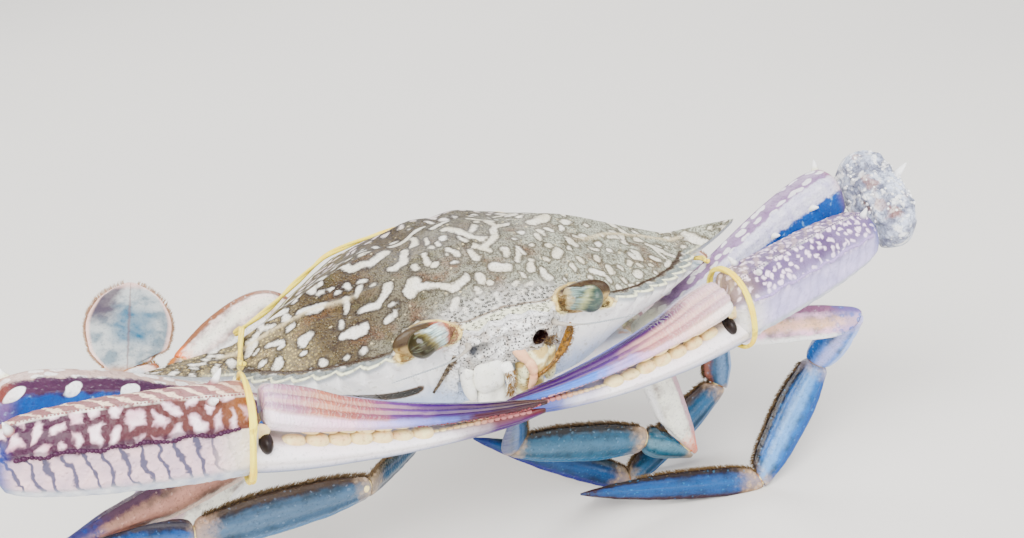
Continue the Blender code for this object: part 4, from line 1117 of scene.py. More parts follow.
def claw(name):
    spec = CLAWS[name]
    hinge, ahead, up = finger_axes(spec)
    tip = np.array(spec["tip"])
    # upper arm
    arm = Loft(spec["merus"], FRONT, MERUS_TABLE, 130, 96, 2.4, grow=merus_shape, round_start=2.5,
               round_end=3.0)
    made = arm.mesh()
    set_thorns(made, arm, [(0.46, 20, spec["spines"], 1.2), (0.64, 18, spec["spines"], 1.4),
                           (0.82, 16, spec["spines"], 1.6), (0.95, 120, 3.0, 1.5)])
    made.done(f"{name}_merus", [f"{name}_claw_merus"], "claw", [merus_paint(name)])
    # wrist
    wrist = Loft(spec["carpus"], (0, 0, 1), CARPUS_TABLE, 90, 96, 3.0, grow=carpus_shape, round_start=3.0,
                 round_end=3.0)
    made = wrist.mesh()
    middle = np.array(spec["carpus"][1])
    for way in ((0.55, -0.25, 0.8), (0.35, 0.15, -0.93)):
        out = unit(mirror(way, spec["side"]))
        made.spike(middle + out * 5.5, middle + out * 12.4, 2.3, cols=16)
    rng = np.random.default_rng(21)
    granules(made, wrist, rng.uniform(0.15, 0.85, 150), rng.uniform(-math.pi, math.pi, 150), 0.42, 3)
    made.done(f"{name}_carpus", [f"{name}_claw_carpus"], "claw", [carpus_paint(name)])
    # hand with its fixed finger
    palm = Loft(spec["palm"], FRONT, palm_table(spec), 170, 128, PALM_SQUARE, grow=palm_shape,
                round_start=2.5, round_end=3.4)
    made = palm.mesh()
    moving_sag, fixed_sag = spec["sag"]
    root = hinge - up * FIXED_ROOT
    fixed = Loft([root - ahead * 8.0, *finger_route(root, tip - up * 1.6, -up, fixed_sag)], FRONT,
                 FIXED_TABLE, 150, 72, 2.2, grow=fixed_shape)
    made.grid(fixed.points, paint=1, fields=fixed.fields())
    set_thorns(made, palm, [(0.83, 112, 3.2, 2.0), (0.8, 60, 2.6, 1.8), (0.08, 70, 3.6, 0.5)])
    steps = np.linspace(0.1, 0.9, 58)
    granules(made, palm, steps, 1.28 + 0.05 * noise(steps[:, None] * [20, 0, 0], 1.0, 8), 0.5, 4)
    steps = np.linspace(0.08, 0.93, 62)
    granules(made, palm, steps, 0.12 + 0.34 * steps, 0.24, 5, 0.5)
    molars(made, fixed, 0.17, 0.62, 7, 3.0)
    molars(made, fixed, 0.62, 0.95, 15, 1.0)
    for t, turn, size in ((0.985, 1.45, 2.3), (0.985, -1.6, 2.1)):
        place, out, way = (v[0] for v in palm.at(t, turn))
        made.egg(place - out * 0.7 + way * 0.6, (size, size * 0.8, 1.1), (way, np.cross(out, way), out), 2,
                 12, 20)
    made.done(f"{name}_palm", [f"{name}_claw_palm"], "claw",
              [palm_paint(name), fixed_paint(name), enamel_paint()])
    # moving finger
    route = longer(finger_route(hinge + up * MOVING_ROOT, tip + up * 1.0, -up, moving_sag), 1.0, 0.0)
    along = unit(hinge - np.array(spec["palm"][1]))
    moving = Loft(route, FRONT, MOVING_TABLE, 190, 96, 2.2, grow=moving_shape,
                  cuts=[(hinge + along * (GAP + 0.15), -along)], soft=1.6, tuck=0.7)
    made = moving.mesh()
    molars(made, moving, 0.14, 0.5, 6, 1.5, down=True)
    molars(made, moving, 0.5, 0.95, 19, 0.7, down=True)
    rng = np.random.default_rng(31)
    steps = np.sort(rng.uniform(0.5, 0.97, 70))
    granules(made, moving, steps, 2.1 + rng.uniform(-0.25, 0.25, 70), 0.24, 6)
    made.egg(hinge + along * 0.8 + FRONT * 3.6 - up * 2.0, (1.5, 3.1, 2.3),
             (along, FRONT, np.cross(along, FRONT)), 2, 14, 22)
    made.done(f"{name}_finger", [f"{name}_claw_finger"], "claw",
              [moving_paint(name), enamel_paint(), pit_paint()])


def block_tooth(made, centre, radii, axes, t):
    """A squarish tooth with rounded corners."""
    a = np.linspace(0.06, math.pi - 0.06, 12)[:, None]
    b = circle(18)[None]
    parts = (squared(np.sin(a), 0.7) * squared(np.cos(b), 0.75),
             squared(np.sin(a), 0.7) * squared(np.sin(b), 0.75), squared(np.cos(a), 0.75) + 0 * b)
    points = np.asarray(centre) + sum(part[..., None] * radius * np.asarray(axis)
                                      for part, radius, axis in zip(parts, radii, axes))
    made.grid(points, paint=1, fields={"tooth": 1.0, "along": t})


def molars(made, finger, start, end, count, size, down=False):
    """Blunt teeth along a finger's cutting edge, set a little to its front."""
    rng = np.random.default_rng(count * 7 + (1 if down else 0))
    for k in range(count):
        t = start + (end - start) * (k + 0.5) / count
        turn = math.pi - 0.42 if down else 0.42
        place, out, way = (v[0] for v in finger.at(t, turn))
        half = finger.length * (end - start) / count * 0.53
        high = size * (1.0 - 0.35 * abs(k + 0.5 - count / 2) / count * 2) * rng.uniform(0.85, 1.1)
        lift = unit(finger.up[0]) * (-1.0 if down else 1.0)
        block_tooth(made, place + lift * high * 0.1 - out * 0.3, (half, min(high * 0.85, 1.9), high * 0.72),
                    (way, np.cross(lift, way), lift), t)


def palm_paint(name):
    near = name == "right"
    p = Paint(f"{name}_palm_paint", roughness=0.46, coat_weight=0.04, coat_roughness=0.3)
    where = p.place()
    turn, reach, girth, along = p.attr("turn"), p.attr("reach"), p.attr("girth"), p.attr("along")
    bent = p.warp(p.warp(p.vector(reach, girth), 3.0, 1.2), 1.1, 0.5)
    broad = p.noise(where, 9.0)
    axes = p.node("SeparateXYZ", {0: bent})
    u, v = axes.outputs[0], axes.outputs[1]
    # network of dark lines round pale cells on the upper front
    if near:
        net = p.cells(p.vector(p.times(u, 0.265), p.times(p.add(v, p.times(u, 0.2)), 0.185)), 1.0,
                      "DISTANCE_TO_EDGE", 0.8, True)
        lines = p.step(net, 0.27, 0.1)
        dark = p.mix(p.step(along, 0.1, 0.9), (98, 64, 88), (132, 90, 84))
        cell = p.mix(p.step(broad, 0.35, 0.7), (228, 216, 218), (206, 182, 190))
        cell = p.mix(p.times(p.step(net, 0.36, 0.22), 0.5), cell, (196, 158, 172))
    else:
        net = p.cells(p.vector(p.times(u, 0.5), p.times(v, 0.42)), 1.0, "F1", 0.9, True)
        lines = p.step(net, 0.16, 0.42)
        dark = p.mix(p.step(broad, 0.3, 0.7), (128, 108, 146), (160, 146, 176))
        cell = (226, 216, 230)
    upper = p.mix(lines, cell, speckle(p, where, dark, (70, 30, 60), 0.4))
    # slanted curving stripes lower down
    bend = p.math("SINE", p.times(v, 0.42))
    phase = p.add(p.add(p.times(u, 1.85), p.times(v, -0.95)), p.times(bend, 1.1))
    phase = p.add(phase, p.sway(p.noise(where, 4.5), 5.5))
    strip = p.step(p.math("SINE", phase), 0.35, 0.9)
    lower = p.mix(p.noise(where, 3.5), (220, 208, 208), (184, 176, 190)) if near else \
        p.mix(p.noise(where, 3.5), (212, 208, 224), (178, 176, 200))
    lower = p.mix(p.times(strip, p.times(p.step(along, 0.95, 0.75), 0.95 if near else 0.16)), lower,
                  (112, 112, 138))
    lower = p.mix(p.times(p.step(along, 0.78, 0.95), 0.6), lower, (236, 226, 216))
    lower = p.mix(p.step(turn, 1.95, 2.3), lower,
                  p.mix(p.noise(where, 3.0), (150, 164, 190), (226, 226, 228)))
    split = p.add(turn, p.sway(p.noise(where, 2.2), 0.22))
    color = p.mix(p.step(split, 1.26, 1.31) if near else p.step(split, 0.95, 1.6), upper, lower)
    # beige ridge on top with oblique streaks
    wave = p.math("SINE", p.add(p.times(u, 1.5), p.times(v, -1.1)))
    streak = p.step(p.add(wave, p.sway(p.noise(where, 3.0), 2.4)), 0.2, 0.9)
    top = p.mix(streak, (176, 140, 140) if near else (160, 146, 168), (226, 212, 204))
    top = speckle(p, where, top if near else p.mix(0.75, top, upper), (104, 66, 66), 0.5)
    crest = p.math("SUBTRACT", turn, p.add(0.12, p.times(along, 0.34)))
    color = p.mix(p.step(crest, 0.08, -0.04), color, top)
    pearl = p.times(p.step(p.away(crest), 0.09, 0.04), p.patches(where, 2.5, 0.35, 0.65))
    color = p.mix(p.times(pearl, 0.7 if near else 0.35), color, (236, 228, 220))
    # back of the hand, away from the front: pale with a little blue
    back = p.mix(p.patches(where, 4.0, 0.42, 0.62, 3.0), (232, 226, 226), (150, 160, 206))
    color = p.mix(p.step(turn, -0.55, -0.8), color, back)
    # dark granular line
    line = p.step(p.away(p.math("SUBTRACT", split, 1.25)), 0.13, 0.03)
    shown = p.step(along, 0.95, 0.8)
    color = p.mix(p.times(p.times(line, shown), 0.7 if near else 0.0), color,
                  (82, 48, 78) if near else (120, 100, 140))
    bead = (98, 64, 90) if near else (190, 180, 204)
    color = p.mix(p.times(p.step(p.attr("bead"), 0.8, 0.95), shown), color, bead)
    # ochre by the fingers, blue at the wrist
    ochre = p.times(p.step(along, 0.78, 0.97), p.step(turn, 1.35, 0.9))
    color = p.mix(p.times(ochre, 0.5 if near else 0.35), color, (184, 142, 92) if near else (200, 190, 150))
    blue = p.times(p.step(along, 0.1, 0.02), p.step(turn, 0.4, 1.0))
    color = p.mix(p.times(blue, 0.85), color, (60, 110, 178))
    return p.finish(thorn_tips(p, color), (p.noise(where, 0.7), 0.12),
                    (p.dots(where, 1.1, 0.5, 0.1), 0.12),
                    (p.times(lines, p.step(turn, 1.3, 1.2)), -0.12))


def fixed_paint(name):
    near = name == "right"
    p = Paint(f"{name}_fixed_paint", roughness=0.3, **WET)
    where = p.place()
    turn, along = p.attr("turn"), p.attr("along")
    broad = p.noise(where, 6.0)
    color = p.mix(broad, (238, 236, 232), (220, 216, 218))
    # painted shadow between the fingers: brown on the upper side that faces the moving finger
    gap = p.step(turn, 1.0, 0.5)
    color = p.mix(p.times(gap, 0.6), color, p.mix(broad, (196, 176, 146), (140, 108, 80)))
    under = p.step(turn, 1.85, 2.3)
    color = p.mix(p.times(under, 0.85), color, (122, 142, 172))
    color = p.mix(p.times(p.step(turn, -0.3, -0.8), 0.5), color, (180, 190, 216))
    far_end = p.step(p.add(along, p.sway(broad, 0.15)), 0.58, 0.86)
    deep = p.mix(p.step(turn, 0.6, 2.0), (128, 40, 62), (96, 62, 128)) if near else (110, 120, 176)
    color = p.mix(far_end, color, deep)
    color = p.mix(p.step(along, 0.97, 1.0), color, (96, 40, 58) if near else (120, 96, 140))
    color = speckle(p, where, color, (60, 50, 60), 0.25, 0.8)
    color = p.mix(p.attr("tooth"), color, molar_color(p, where))
    return p.finish(color, (p.noise(where, 0.8), 0.1), (p.noise(where, 3.0), 0.12))


def molar_color(p, where):
    color = p.mix(p.noise(where, 2.0), (238, 226, 206), (218, 196, 172))
    color = p.mix(p.times(p.patches(where, 1.0, 0.55, 0.75), 0.4), color, (160, 126, 90))
    return p.mix(p.step(p.attr("along"), 0.62, 0.85), color, (190, 150, 150))


def moving_paint(name):
    near = name == "right"
    p = Paint(f"{name}_finger_paint", roughness=0.27, **WET)
    where = p.place()
    turn, along, reach = p.attr("turn"), p.attr("along"), p.attr("reach")
    wobble = p.sway(p.noise(where, 3.0), 0.2)
    t = p.add(along, wobble)
    along_grain = p.noise(p.vector(p.times(reach, 0.12), p.times(turn, 3.2)), 1.0, 3.0, 0.6)
    ribs = p.add(p.math("SINE", p.times(turn, 11.5)), p.sway(along_grain, 2.4))
    cross = p.math("SINE", p.times(p.add(reach, p.times(p.noise(where, 1.6, 3.0), 3.0)), 6.0))
    if near:
        top = p.ramp(t, (0.0, (206, 190, 200)), (0.08, (196, 168, 180)), (0.18, (200, 156, 140)),
                     (0.32, (190, 140, 140)), (0.45, (140, 104, 160)), (0.6, (98, 66, 138)),
                     (0.8, (76, 34, 88)), (0.95, (78, 28, 50)), (1.0, (96, 38, 56)))
        low = p.ramp(t, (0.0, (228, 218, 224)), (0.25, (222, 206, 214)), (0.45, (190, 188, 216)),
                     (0.6, (140, 150, 200)), (0.72, (98, 42, 74)), (1.0, (82, 26, 42)))
    else:
        top = p.ramp(t, (0.0, (214, 204, 208)), (0.12, (208, 190, 192)), (0.34, (206, 176, 174)),
                     (0.55, (120, 92, 150)), (0.8, (86, 56, 128)), (1.0, (84, 50, 110)))
        low = p.ramp(t, (0.0, (236, 230, 232)), (0.2, (230, 210, 206)), (0.45, (206, 190, 206)),
                     (0.65, (140, 168, 214)), (1.0, (110, 130, 186)))
    dark = p.mix(0.5, top, (80, 40, 110) if near else (90, 60, 110))
    top = p.mix(p.times(p.step(ribs, 0.1, -0.7), 0.55 if near else 0.4), top, dark)
    light = p.mix(0.55, top, (240, 214, 206))
    faded = p.add(0.12, p.times(p.step(t, 0.6, 0.4), 0.38))
    top = p.mix(p.times(p.step(ribs, 0.3, 0.9), faded), top, light)
    band_at = p.add(p.add(turn, wobble), p.times(p.step(t, 0.35, 0.55), 0.12 if near else 0.5))
    color = p.mix(p.step(band_at, 1.12, 1.4), top, low)
    if not near:
        color = p.mix(p.times(p.step(turn, 0.2, -0.05), p.step(t, 0.12, 0.3)), color, (92, 62, 116))
    color = p.mix(p.times(p.times(p.step(cross, 0.4, 1.0), p.step(t, 0.42, 0.3)), 0.18), color,
                  (236, 226, 220))
    color = p.mix(p.times(p.step(turn, -0.5, -1.0), 0.8), color, p.ramp(t, (0.0, (236, 230, 234)),
                  (0.5, (170, 180, 220)), (1.0, (110, 70, 140))))
    color = speckle(p, where, color, (70, 30, 60), 0.22, 0.6)
    color = p.mix(p.step(p.attr("bead"), 0.8, 0.95), color, (170, 112, 116) if near else (200, 176, 184))
    color = p.mix(p.times(p.attr("tooth"), 0.9), color, molar_color(p, where))
    return p.finish(color, (p.noise(where, 0.7), 0.1), (p.times(cross, p.step(t, 0.5, 0.3)), 0.05))


def enamel_paint():
    p = Paint("enamel_paint", roughness=0.25, **WET)
    where = p.place()
    p.color(molar_color(p, where))
    p.bump((p.noise(where, 1.0), 0.08))
    return p.made


def pit_paint():
    p = Paint("pit_paint", roughness=0.4)
    p.color(p.mix(p.noise(p.place(), 1.0), (66, 30, 52), (40, 20, 40)))
    return p.made


def merus_paint(name):
    near = name == "right"
    p = Paint(f"{name}_merus_paint", roughness=0.36, **WET)
    where = p.place()
    turn, along, reach, girth = p.attr("turn"), p.attr("along"), p.attr("reach"), p.attr("girth")
    bent = p.warp(p.vector(reach, girth), 3.0, 1.0)
    mottle = p.noise(where, 2.4, 3.0, 0.6)
    top = p.mix(mottle, (210, 198, 192), (172, 152, 150)) if near else \
        p.mix(mottle, (190, 176, 196), (134, 106, 144))
    cell = p.cells(p.node("VectorMath", {0: bent, 1: (0.2, 0.4, 1.0)}, operation="MULTIPLY").outputs[0],
                   1.0, flat=True)
    top = p.mix(p.times(p.step(cell, 0.34, 0.24), 0.7), top, (244, 236, 230))
    band = p.mix(mottle, (80, 56, 88), (124, 92, 112)) if near else \
        p.mix(mottle, (232, 228, 238), (178, 172, 202))
    blue = p.mix(p.noise(where, 5.0), (40, 88, 150), (96, 146, 202))
    blue = p.mix(p.times(p.patches(where, 1.6, 0.6, 0.75, 3.0), 0.5), blue, (190, 210, 232))
    wobble = p.sway(mottle, 0.5)
    split = p.add(turn, wobble)
    low, high = (0.12, 0.78) if near else (0.4, 1.2)
    color = p.mix(p.step(split, low, low + 0.15), top, band)
    color = p.mix(p.step(split, high, high + 0.18), color, blue)
    if near:
        place = p.node("SeparateXYZ", {0: bent})
        step_on = p.math("SUBTRACT", p.math("WRAP", place.outputs[0], 12.0, 0.0), 6.0)
        lift = p.math("SUBTRACT", turn, p.add(0.7, p.times(step_on, 0.06)))
        oval = p.add(p.math("POWER", p.times(step_on, 0.46), 2.0), p.math("POWER", p.times(lift, 4.2), 2.0))
        color = p.mix(p.step(oval, 1.2, 0.8), color, (248, 246, 246))
    color = p.mix(p.step(split, 2.1, 2.5), color, p.mix(mottle, (240, 234, 226), (206, 210, 226)))
    back = p.mix(p.step(mottle, 0.4, 0.6), (232, 224, 222), (150, 140, 190))
    color = p.mix(p.step(split, -0.6, -0.9), color, back)
    color = p.mix(p.times(p.step(along, 0.2, 0.08), 0.8), color, (236, 226, 214))
    ochre = p.times(p.step(along, 0.93, 0.98), 0.25)
    color = p.mix(ochre, color, (206, 150, 104))
    color = speckle(p, where, color, (90, 60, 70), 0.25, 0.6)
    return p.finish(thorn_tips(p, color, (248, 240, 236)), (p.noise(where, 0.7), 0.12),
                    (p.dots(where, 1.2, 0.5, 0.1), 0.1))


def carpus_paint(name):
    p = Paint(f"{name}_carpus_paint", roughness=0.4, **WET)
    where = p.place()
    net = p.cells(p.warp(where, 3.0, 1.8), 2.6, "DISTANCE_TO_EDGE", 1.0)
    color = p.mix(p.patches(where, 4.0, 0.35, 0.65, 3.0, 0.65), (206, 209, 216), (150, 152, 168))
    color = p.mix(p.times(p.step(net, 0.1, 0.02), 0.4), color, (98, 100, 118))
    color = p.mix(p.times(p.patches(where, 2.2, 0.5, 0.64, 3.0, 0.6), 0.8), color, (226, 229, 234))
    color = p.mix(p.times(p.patches(where, 6.0, 0.6, 0.7), 0.5), color, (182, 130, 90))
    color = speckle(p, where, color, (60, 44, 60), 0.5, 0.8)
    color = p.mix(p.step(p.attr("bead"), 0.5, 0.9), color, (244, 240, 236))
    return p.finish(thorn_tips(p, color, (250, 246, 240)), (p.noise(where, 0.8, 3.0, 0.7), 0.3))


for claw_name in CLAWS:
    claw(claw_name)


# ------------------------------------------------------------------ face

def wall_front(x, z):
    """Y of the shell's front wall at a place on it, before the bay is taken out."""
    x, z = np.broadcast_arrays(np.asarray(x, float), np.asarray(z, float))
    angle = np.arcsin(np.clip(x / 35.0, -0.95, 0.95))
    for _ in range(6):
        notch, base = notch_radius(angle), foot_radius(angle)
        low = (z + 14.0) / 6.0
        mid = (z + 14.0) / 8.6
        reach = np.where(z < -14.0, 0.42 * notch + 0.58 * base + low * (0.42 * (notch - base)),
                         (0.42 * notch + 0.58 * base) + np.clip(mid, 0, 1) * (0.58 * (notch - base) - 0.3))
        angle = np.arcsin(np.clip(x / reach, -0.95, 0.95))
    return HUB[1] - reach * np.cos(angle)


def oval(x, z, cx, cz, rx, rz):
    return np.sqrt(((x - cx) / rx) ** 2 + ((z - cz) / rz) ** 2)


def face():
    """Plate between the eyes and above the mouth, with the feelers' sockets."""
    xs = np.linspace(-13.3, 13.3, 200)
    zs = np.linspace(-10.6, 1.3, 96)
    x, z = np.meshgrid(xs, zs, indexing="ij")
    inside = 1.0 - ease(np.abs(x), 9.8, 12.6)
    front = wall_front(x, np.minimum(z, -0.4)) + 0.2
    puff = (0.5 * noise(np.stack([x, 0 * x, z], -1), 3.6, 41)
            + 0.3 * noise(np.stack([x, 0 * x, z], -1), 1.5, 42))
    froth = 0.16 * noise(np.stack([x, 0 * x, z], -1), 0.55, 43)
    out = 0.5 * inside + puff * (0.35 + 0.65 * inside) + froth
    out = out + 1.1 * hump(oval(x, z, 2.4, -5.0, 2.4, 4.6), 0.0, 1.0) + 0.8 * hump(z, -0.6, 1.2) * inside
    out = out + 0.9 * hump(oval(x, z, -3.4, -6.6, 3.6, 1.8), 0.0, 1.0)
    hollow = oval(x, z, -8.0, -3.6, 2.6, 1.7)
    out = out - 1.5 * (1.0 - ease(hollow, 0.3, 1.25)) + 0.35 * hump(hollow, 1.35, 0.3)
    hole = oval(x, z, 7.2, -4.8, 2.0, 1.75)
    out = out - 3.4 * (1.0 - ease(hole, 0.7, 1.0)) + 0.4 * hump(hole, 1.35, 0.3)
    patch = oval(x, z, 9.6, -6.9, 1.9, 1.6)
    out = out - 0.7 * (1.0 - ease(patch, 0.3, 1.2))
    seam = ease(np.abs(x), 12.3, 12.9) * (1.0 - ease(np.abs(x), 12.9, 13.3))
    out = out - 0.5 * seam * ease(z, -2.0, -5.0)
    y = np.minimum(front - out, -28.6)
    sheet = np.stack([x, y, z], -1)
    back = np.stack([x, np.full_like(x, -28.4), z], -1)[:, ::-8]
    ring = np.concatenate([sheet, back], axis=1)
    # painted shade: the inside of the feeler's hole
    dark = np.concatenate([1.0 - ease(hole, 0.98, 1.16), np.zeros(back.shape[:2])], axis=1)
    # painted shade: a grey crescent at the hollow's edge and grey inside it
    hollow_shade = hump(oval(x, z, -9.7, -3.9, 1.3, 1.5), 0.0, 0.8)
    hollow_shade = np.concatenate([hollow_shade + 0.5 * (1.0 - ease(hollow, 0.4, 1.2)), np.zeros(back.shape[:2])], axis=1)
    hair = np.concatenate([1.0 - ease(patch, 0.2, 2.0), np.zeros(back.shape[:2])], axis=1)
    made = Mesh()
    round_hole = np.concatenate([hump(hole, 1.1, 0.25), np.zeros(back.shape[:2])], axis=1)
    made.grid(ring, fields={"hole": dark, "hollow": hollow_shade, "hairy": hair, "near_hole": round_hole})
    made.done("face_plate", ["face"], "belly", [face_paint()])


def face_paint():
    p = Paint("face_paint", roughness=0.3, **WET)
    where = p.place()
    broad = p.noise(where, 5.0, 3.0, 0.6)
    color = p.mix(p.step(broad, 0.35, 0.65), (240, 237, 230), (206, 206, 204))
    froth = p.cells(where, 0.7)
    color = p.mix(p.times(p.step(froth, 0.45, 0.2), 0.5), color, (250, 250, 248))
    color = p.mix(p.times(p.patches(where, 2.6, 0.52, 0.68, 3.0), 0.5), color, (184, 168, 148))
    where_dots = p.patches(where, 2.2, 0.36, 0.5, 4.0, 0.75)
    color = p.mix(p.times(where_dots, 0.35), color, (170, 164, 158))
    dots = p.dots(where, 0.66, 0.42, 0.3)
    color = p.mix(p.times(p.times(dots, where_dots), 0.95), color, (34, 28, 26))
    # painted shade in the hollow
    color = p.mix(p.attr("hollow"), color, (108, 110, 116))
    tangle = p.step(p.add(p.attr("hairy"), p.sway(p.noise(where, 0.7, 3.0, 0.7), 1.6)), 0.35, 0.8)
    color = p.mix(p.times(tangle, 0.8), color, p.mix(p.noise(where, 0.9), (64, 50, 36), (150, 128, 98)))
    rim = p.times(p.step(p.attr("near_hole"), 0.0, 1.0), 0.5)
    color = p.mix(rim, color, (120, 96, 74))
    # painted shade: dark brown inside the feeler's hole
    color = p.mix(p.attr("hole"), color, (70, 36, 24))
    return p.finish(color, (p.step(froth, 0.6, 0.1), 0.2), (p.noise(where, 0.4), 0.1))


RIM_STEPS = 72


def rim_points(side):
    """Places round an eye socket's mouth, where its wall meets the shell."""
    flat = whole_shell.reshape(-1, 3)
    flat = flat[(flat[:, 1] < -20) & (flat[:, 0] * side > 6) & (flat[:, 0] * side < 34) & (flat[:, 2] > -9)]
    c, s = socket_turn(side)
    centre = mirror(ORBIT_AT, side)
    found = []
    for b in circle(RIM_STEPS):
        for r in np.linspace(0.3, 1.02, 37):
            u, w = ORBIT_RADII[0] * r * math.cos(b), ORBIT_RADII[2] * r * math.sin(b)
            x, z = c * u + s * w + centre[0], -s * u + c * w + centre[2]
            near = np.argpartition((flat[:, 0] - x) ** 2 + (flat[:, 2] - z) ** 2, 4)[:4]
            y = flat[near, 1].mean()
            if centre[1] + ORBIT_RADII[1] * math.sqrt(max(1.0 - r * r, 0.0)) <= y:
                break
        found.append((x, y, z))
    found = np.array(found)
    for _ in range(6):
        found = (np.roll(found, 1, 0) + found * 2 + np.roll(found, -1, 0)) / 4
    return found


def ring_tube(target, points, sizes, cols=12, fields=None):
    """A closed tube through the points."""
    ahead = unit(np.roll(points, -1, 0) - np.roll(points, 1, 0))
    centre = points.mean(0)
    out = points - centre
    out = unit(out - np.einsum("ij,ij->i", out, ahead)[:, None] * ahead)
    other = np.cross(ahead, out)
    a = circle(cols)
    ring = out[:, None] * np.cos(a)[None, :, None] + other[:, None] * np.sin(a)[None, :, None]
    grid = points[:, None] + ring * np.asarray(sizes).reshape(-1, 1, 1)
    rows = len(points)
    flat = grid.reshape(-1, 3)
    i, j = np.meshgrid(np.arange(rows), np.arange(cols), indexing="ij")
    n, m = (i + 1) % rows, (j + 1) % cols
    quads = np.stack([i * cols + j, i * cols + m, n * cols + m, n * cols + j], -1).reshape(-1, 4)
    middle = flat[quads].mean(1)
    normal = np.cross(flat[quads[:, 1]] - flat[quads[:, 0]], flat[quads[:, 2]] - flat[quads[:, 0]])
    if np.einsum("ij,ij->", normal, middle - np.repeat(points, cols, 0)) < 0:
        quads = quads[:, ::-1]
    fields = {k: np.broadcast_to(np.asarray(v).reshape(-1, 1), (rows, cols)).ravel()
              for k, v in (fields or {}).items()}
    target.add(flat, quads, fields=fields)


EYE_ROUTE = [(14.6, -31.6, 2.2), (18.5, -32.6, 1.6), (24.6, -33.2, 0.0)]
EYE_TABLE = [(0.0, 1.4, 1.4), (0.1, 2.5, 2.5), (0.4, 2.8, 2.8), (0.62, 3.2, 3.2), (0.8, 3.4, 3.3),
             (1.0, 3.2, 3.1)]
EYE_NODES = {1: "left_eye", -1: "right_eye"}


def eye(side, hair):
    route = [mirror(p, side) for p in EYE_ROUTE]

    def shape(loft):
        turn = loft.turn
        waist = -0.14 * hump(loft.t, 0.45, 0.08) + 0.14 * np.cos(turn * 5) * (1.0 - ease(loft.t, 0.4, 0.6))
        return waist + 0.05 * noise(np.stack([loft.t * 20, turn * 2, 0 * turn], -1), 1.0, 5)
    stalk = Loft(route, (0, -1, 0), EYE_TABLE, 90, 60, 2.0, grow=shape, round_start=1.2, round_end=3.4)
    made = stalk.mesh()
    made.done(f"{EYE_NODES[side]}_ball", [EYE_NODES[side]], "eye", [eye_paint(side)])
    centre = mirror(ORBIT_AT, side)
    rim = rim_points(side)
    b = np.arange(len(rim)) / len(rim)
    upper = 0.5 + 0.5 * np.sin(2 * np.pi * b)
    made = Mesh()
    lip = rim + np.array([0.0, 0.15, 0.0])
    ring_tube(made, lip + [0.0, 0.2, 0.0], 0.62 + 0.2 * noise(lip, 1.6, 7), 14, {"upper": upper})
    for drop, back, size in ((0.7, 1.2, 0.75), (1.1, 2.6, 0.8)):
        inner = lip.copy()
        for axis, radius in ((0, ORBIT_RADII[0]), (2, ORBIT_RADII[2])):
            inner[:, axis] = centre[axis] + (lip[:, axis] - centre[axis]) * (1.0 - drop / radius)
        inner[:, 1] = lip[:, 1] + back
        ring_tube(made, inner, size + 0.12 * noise(inner, 1.4, 9),
                  fields={"upper": upper, "deep": back / 2.8})
    # the socket's floor: a shallow bowl behind the eye
    made.egg(centre + [0.0, 3.5, 0.0], (7.6, 2.0, 4.0), None, 1, 24, 40)
    made.done(f"{EYE_NODES[side]}_rim", [], "shell", [rim_paint(), socket_paint(side)])
    # bristles round the socket's lower edge
    rng = np.random.default_rng(60 + side)
    lower = [k for k in range(len(rim)) if math.sin(2 * math.pi * k / len(rim)) < 0.25]
    n = 300
    pick = rng.choice(lower, n)
    roots = rim[pick] + rng.normal(0, 0.14, (n, 3)) + [0, 0.1, 0]
    ways = unit(centre + [0.0, -1.2, 0.4] - roots) + rng.normal(0, 0.2, (n, 3))
    tint = np.where(side * roots[:, 0] < 19.0, 2.0, 1.0) if side < 0 else np.full(n, 0.0)
    hair.hairs(roots, unit(ways), rng.uniform(0.7, 2.1, n), rng.uniform(0.05, 0.09, n),
               np.stack([0.05 + 0.4 * pick / len(rim), np.full(n, 0.3 + 0.1 * side)], 1),
               rng.normal(0, 0.2, (n, 3)), fields={"shade": tint})
    n = 150
    roots = np.array(mirror((14.6, -33.0, 2.0), side)) + rng.normal(0, [1.5, 0.4, 1.1], (n, 3))
    ways = unit(np.array([side * 0.9, -0.45, 0.1]) + rng.normal(0, 0.35, (n, 3)))
    hair.hairs(roots, ways, rng.uniform(1.0, 2.4, n), rng.uniform(0.05, 0.1, n),
               np.stack([0.6 + 0.02 * roots[:, 0], 0.3 + 0.02 * roots[:, 2]], 1) % 1.0,
               rng.normal(0, 0.2, (n, 3)), fields={"shade": 2.0 if side < 0 else 0.6})


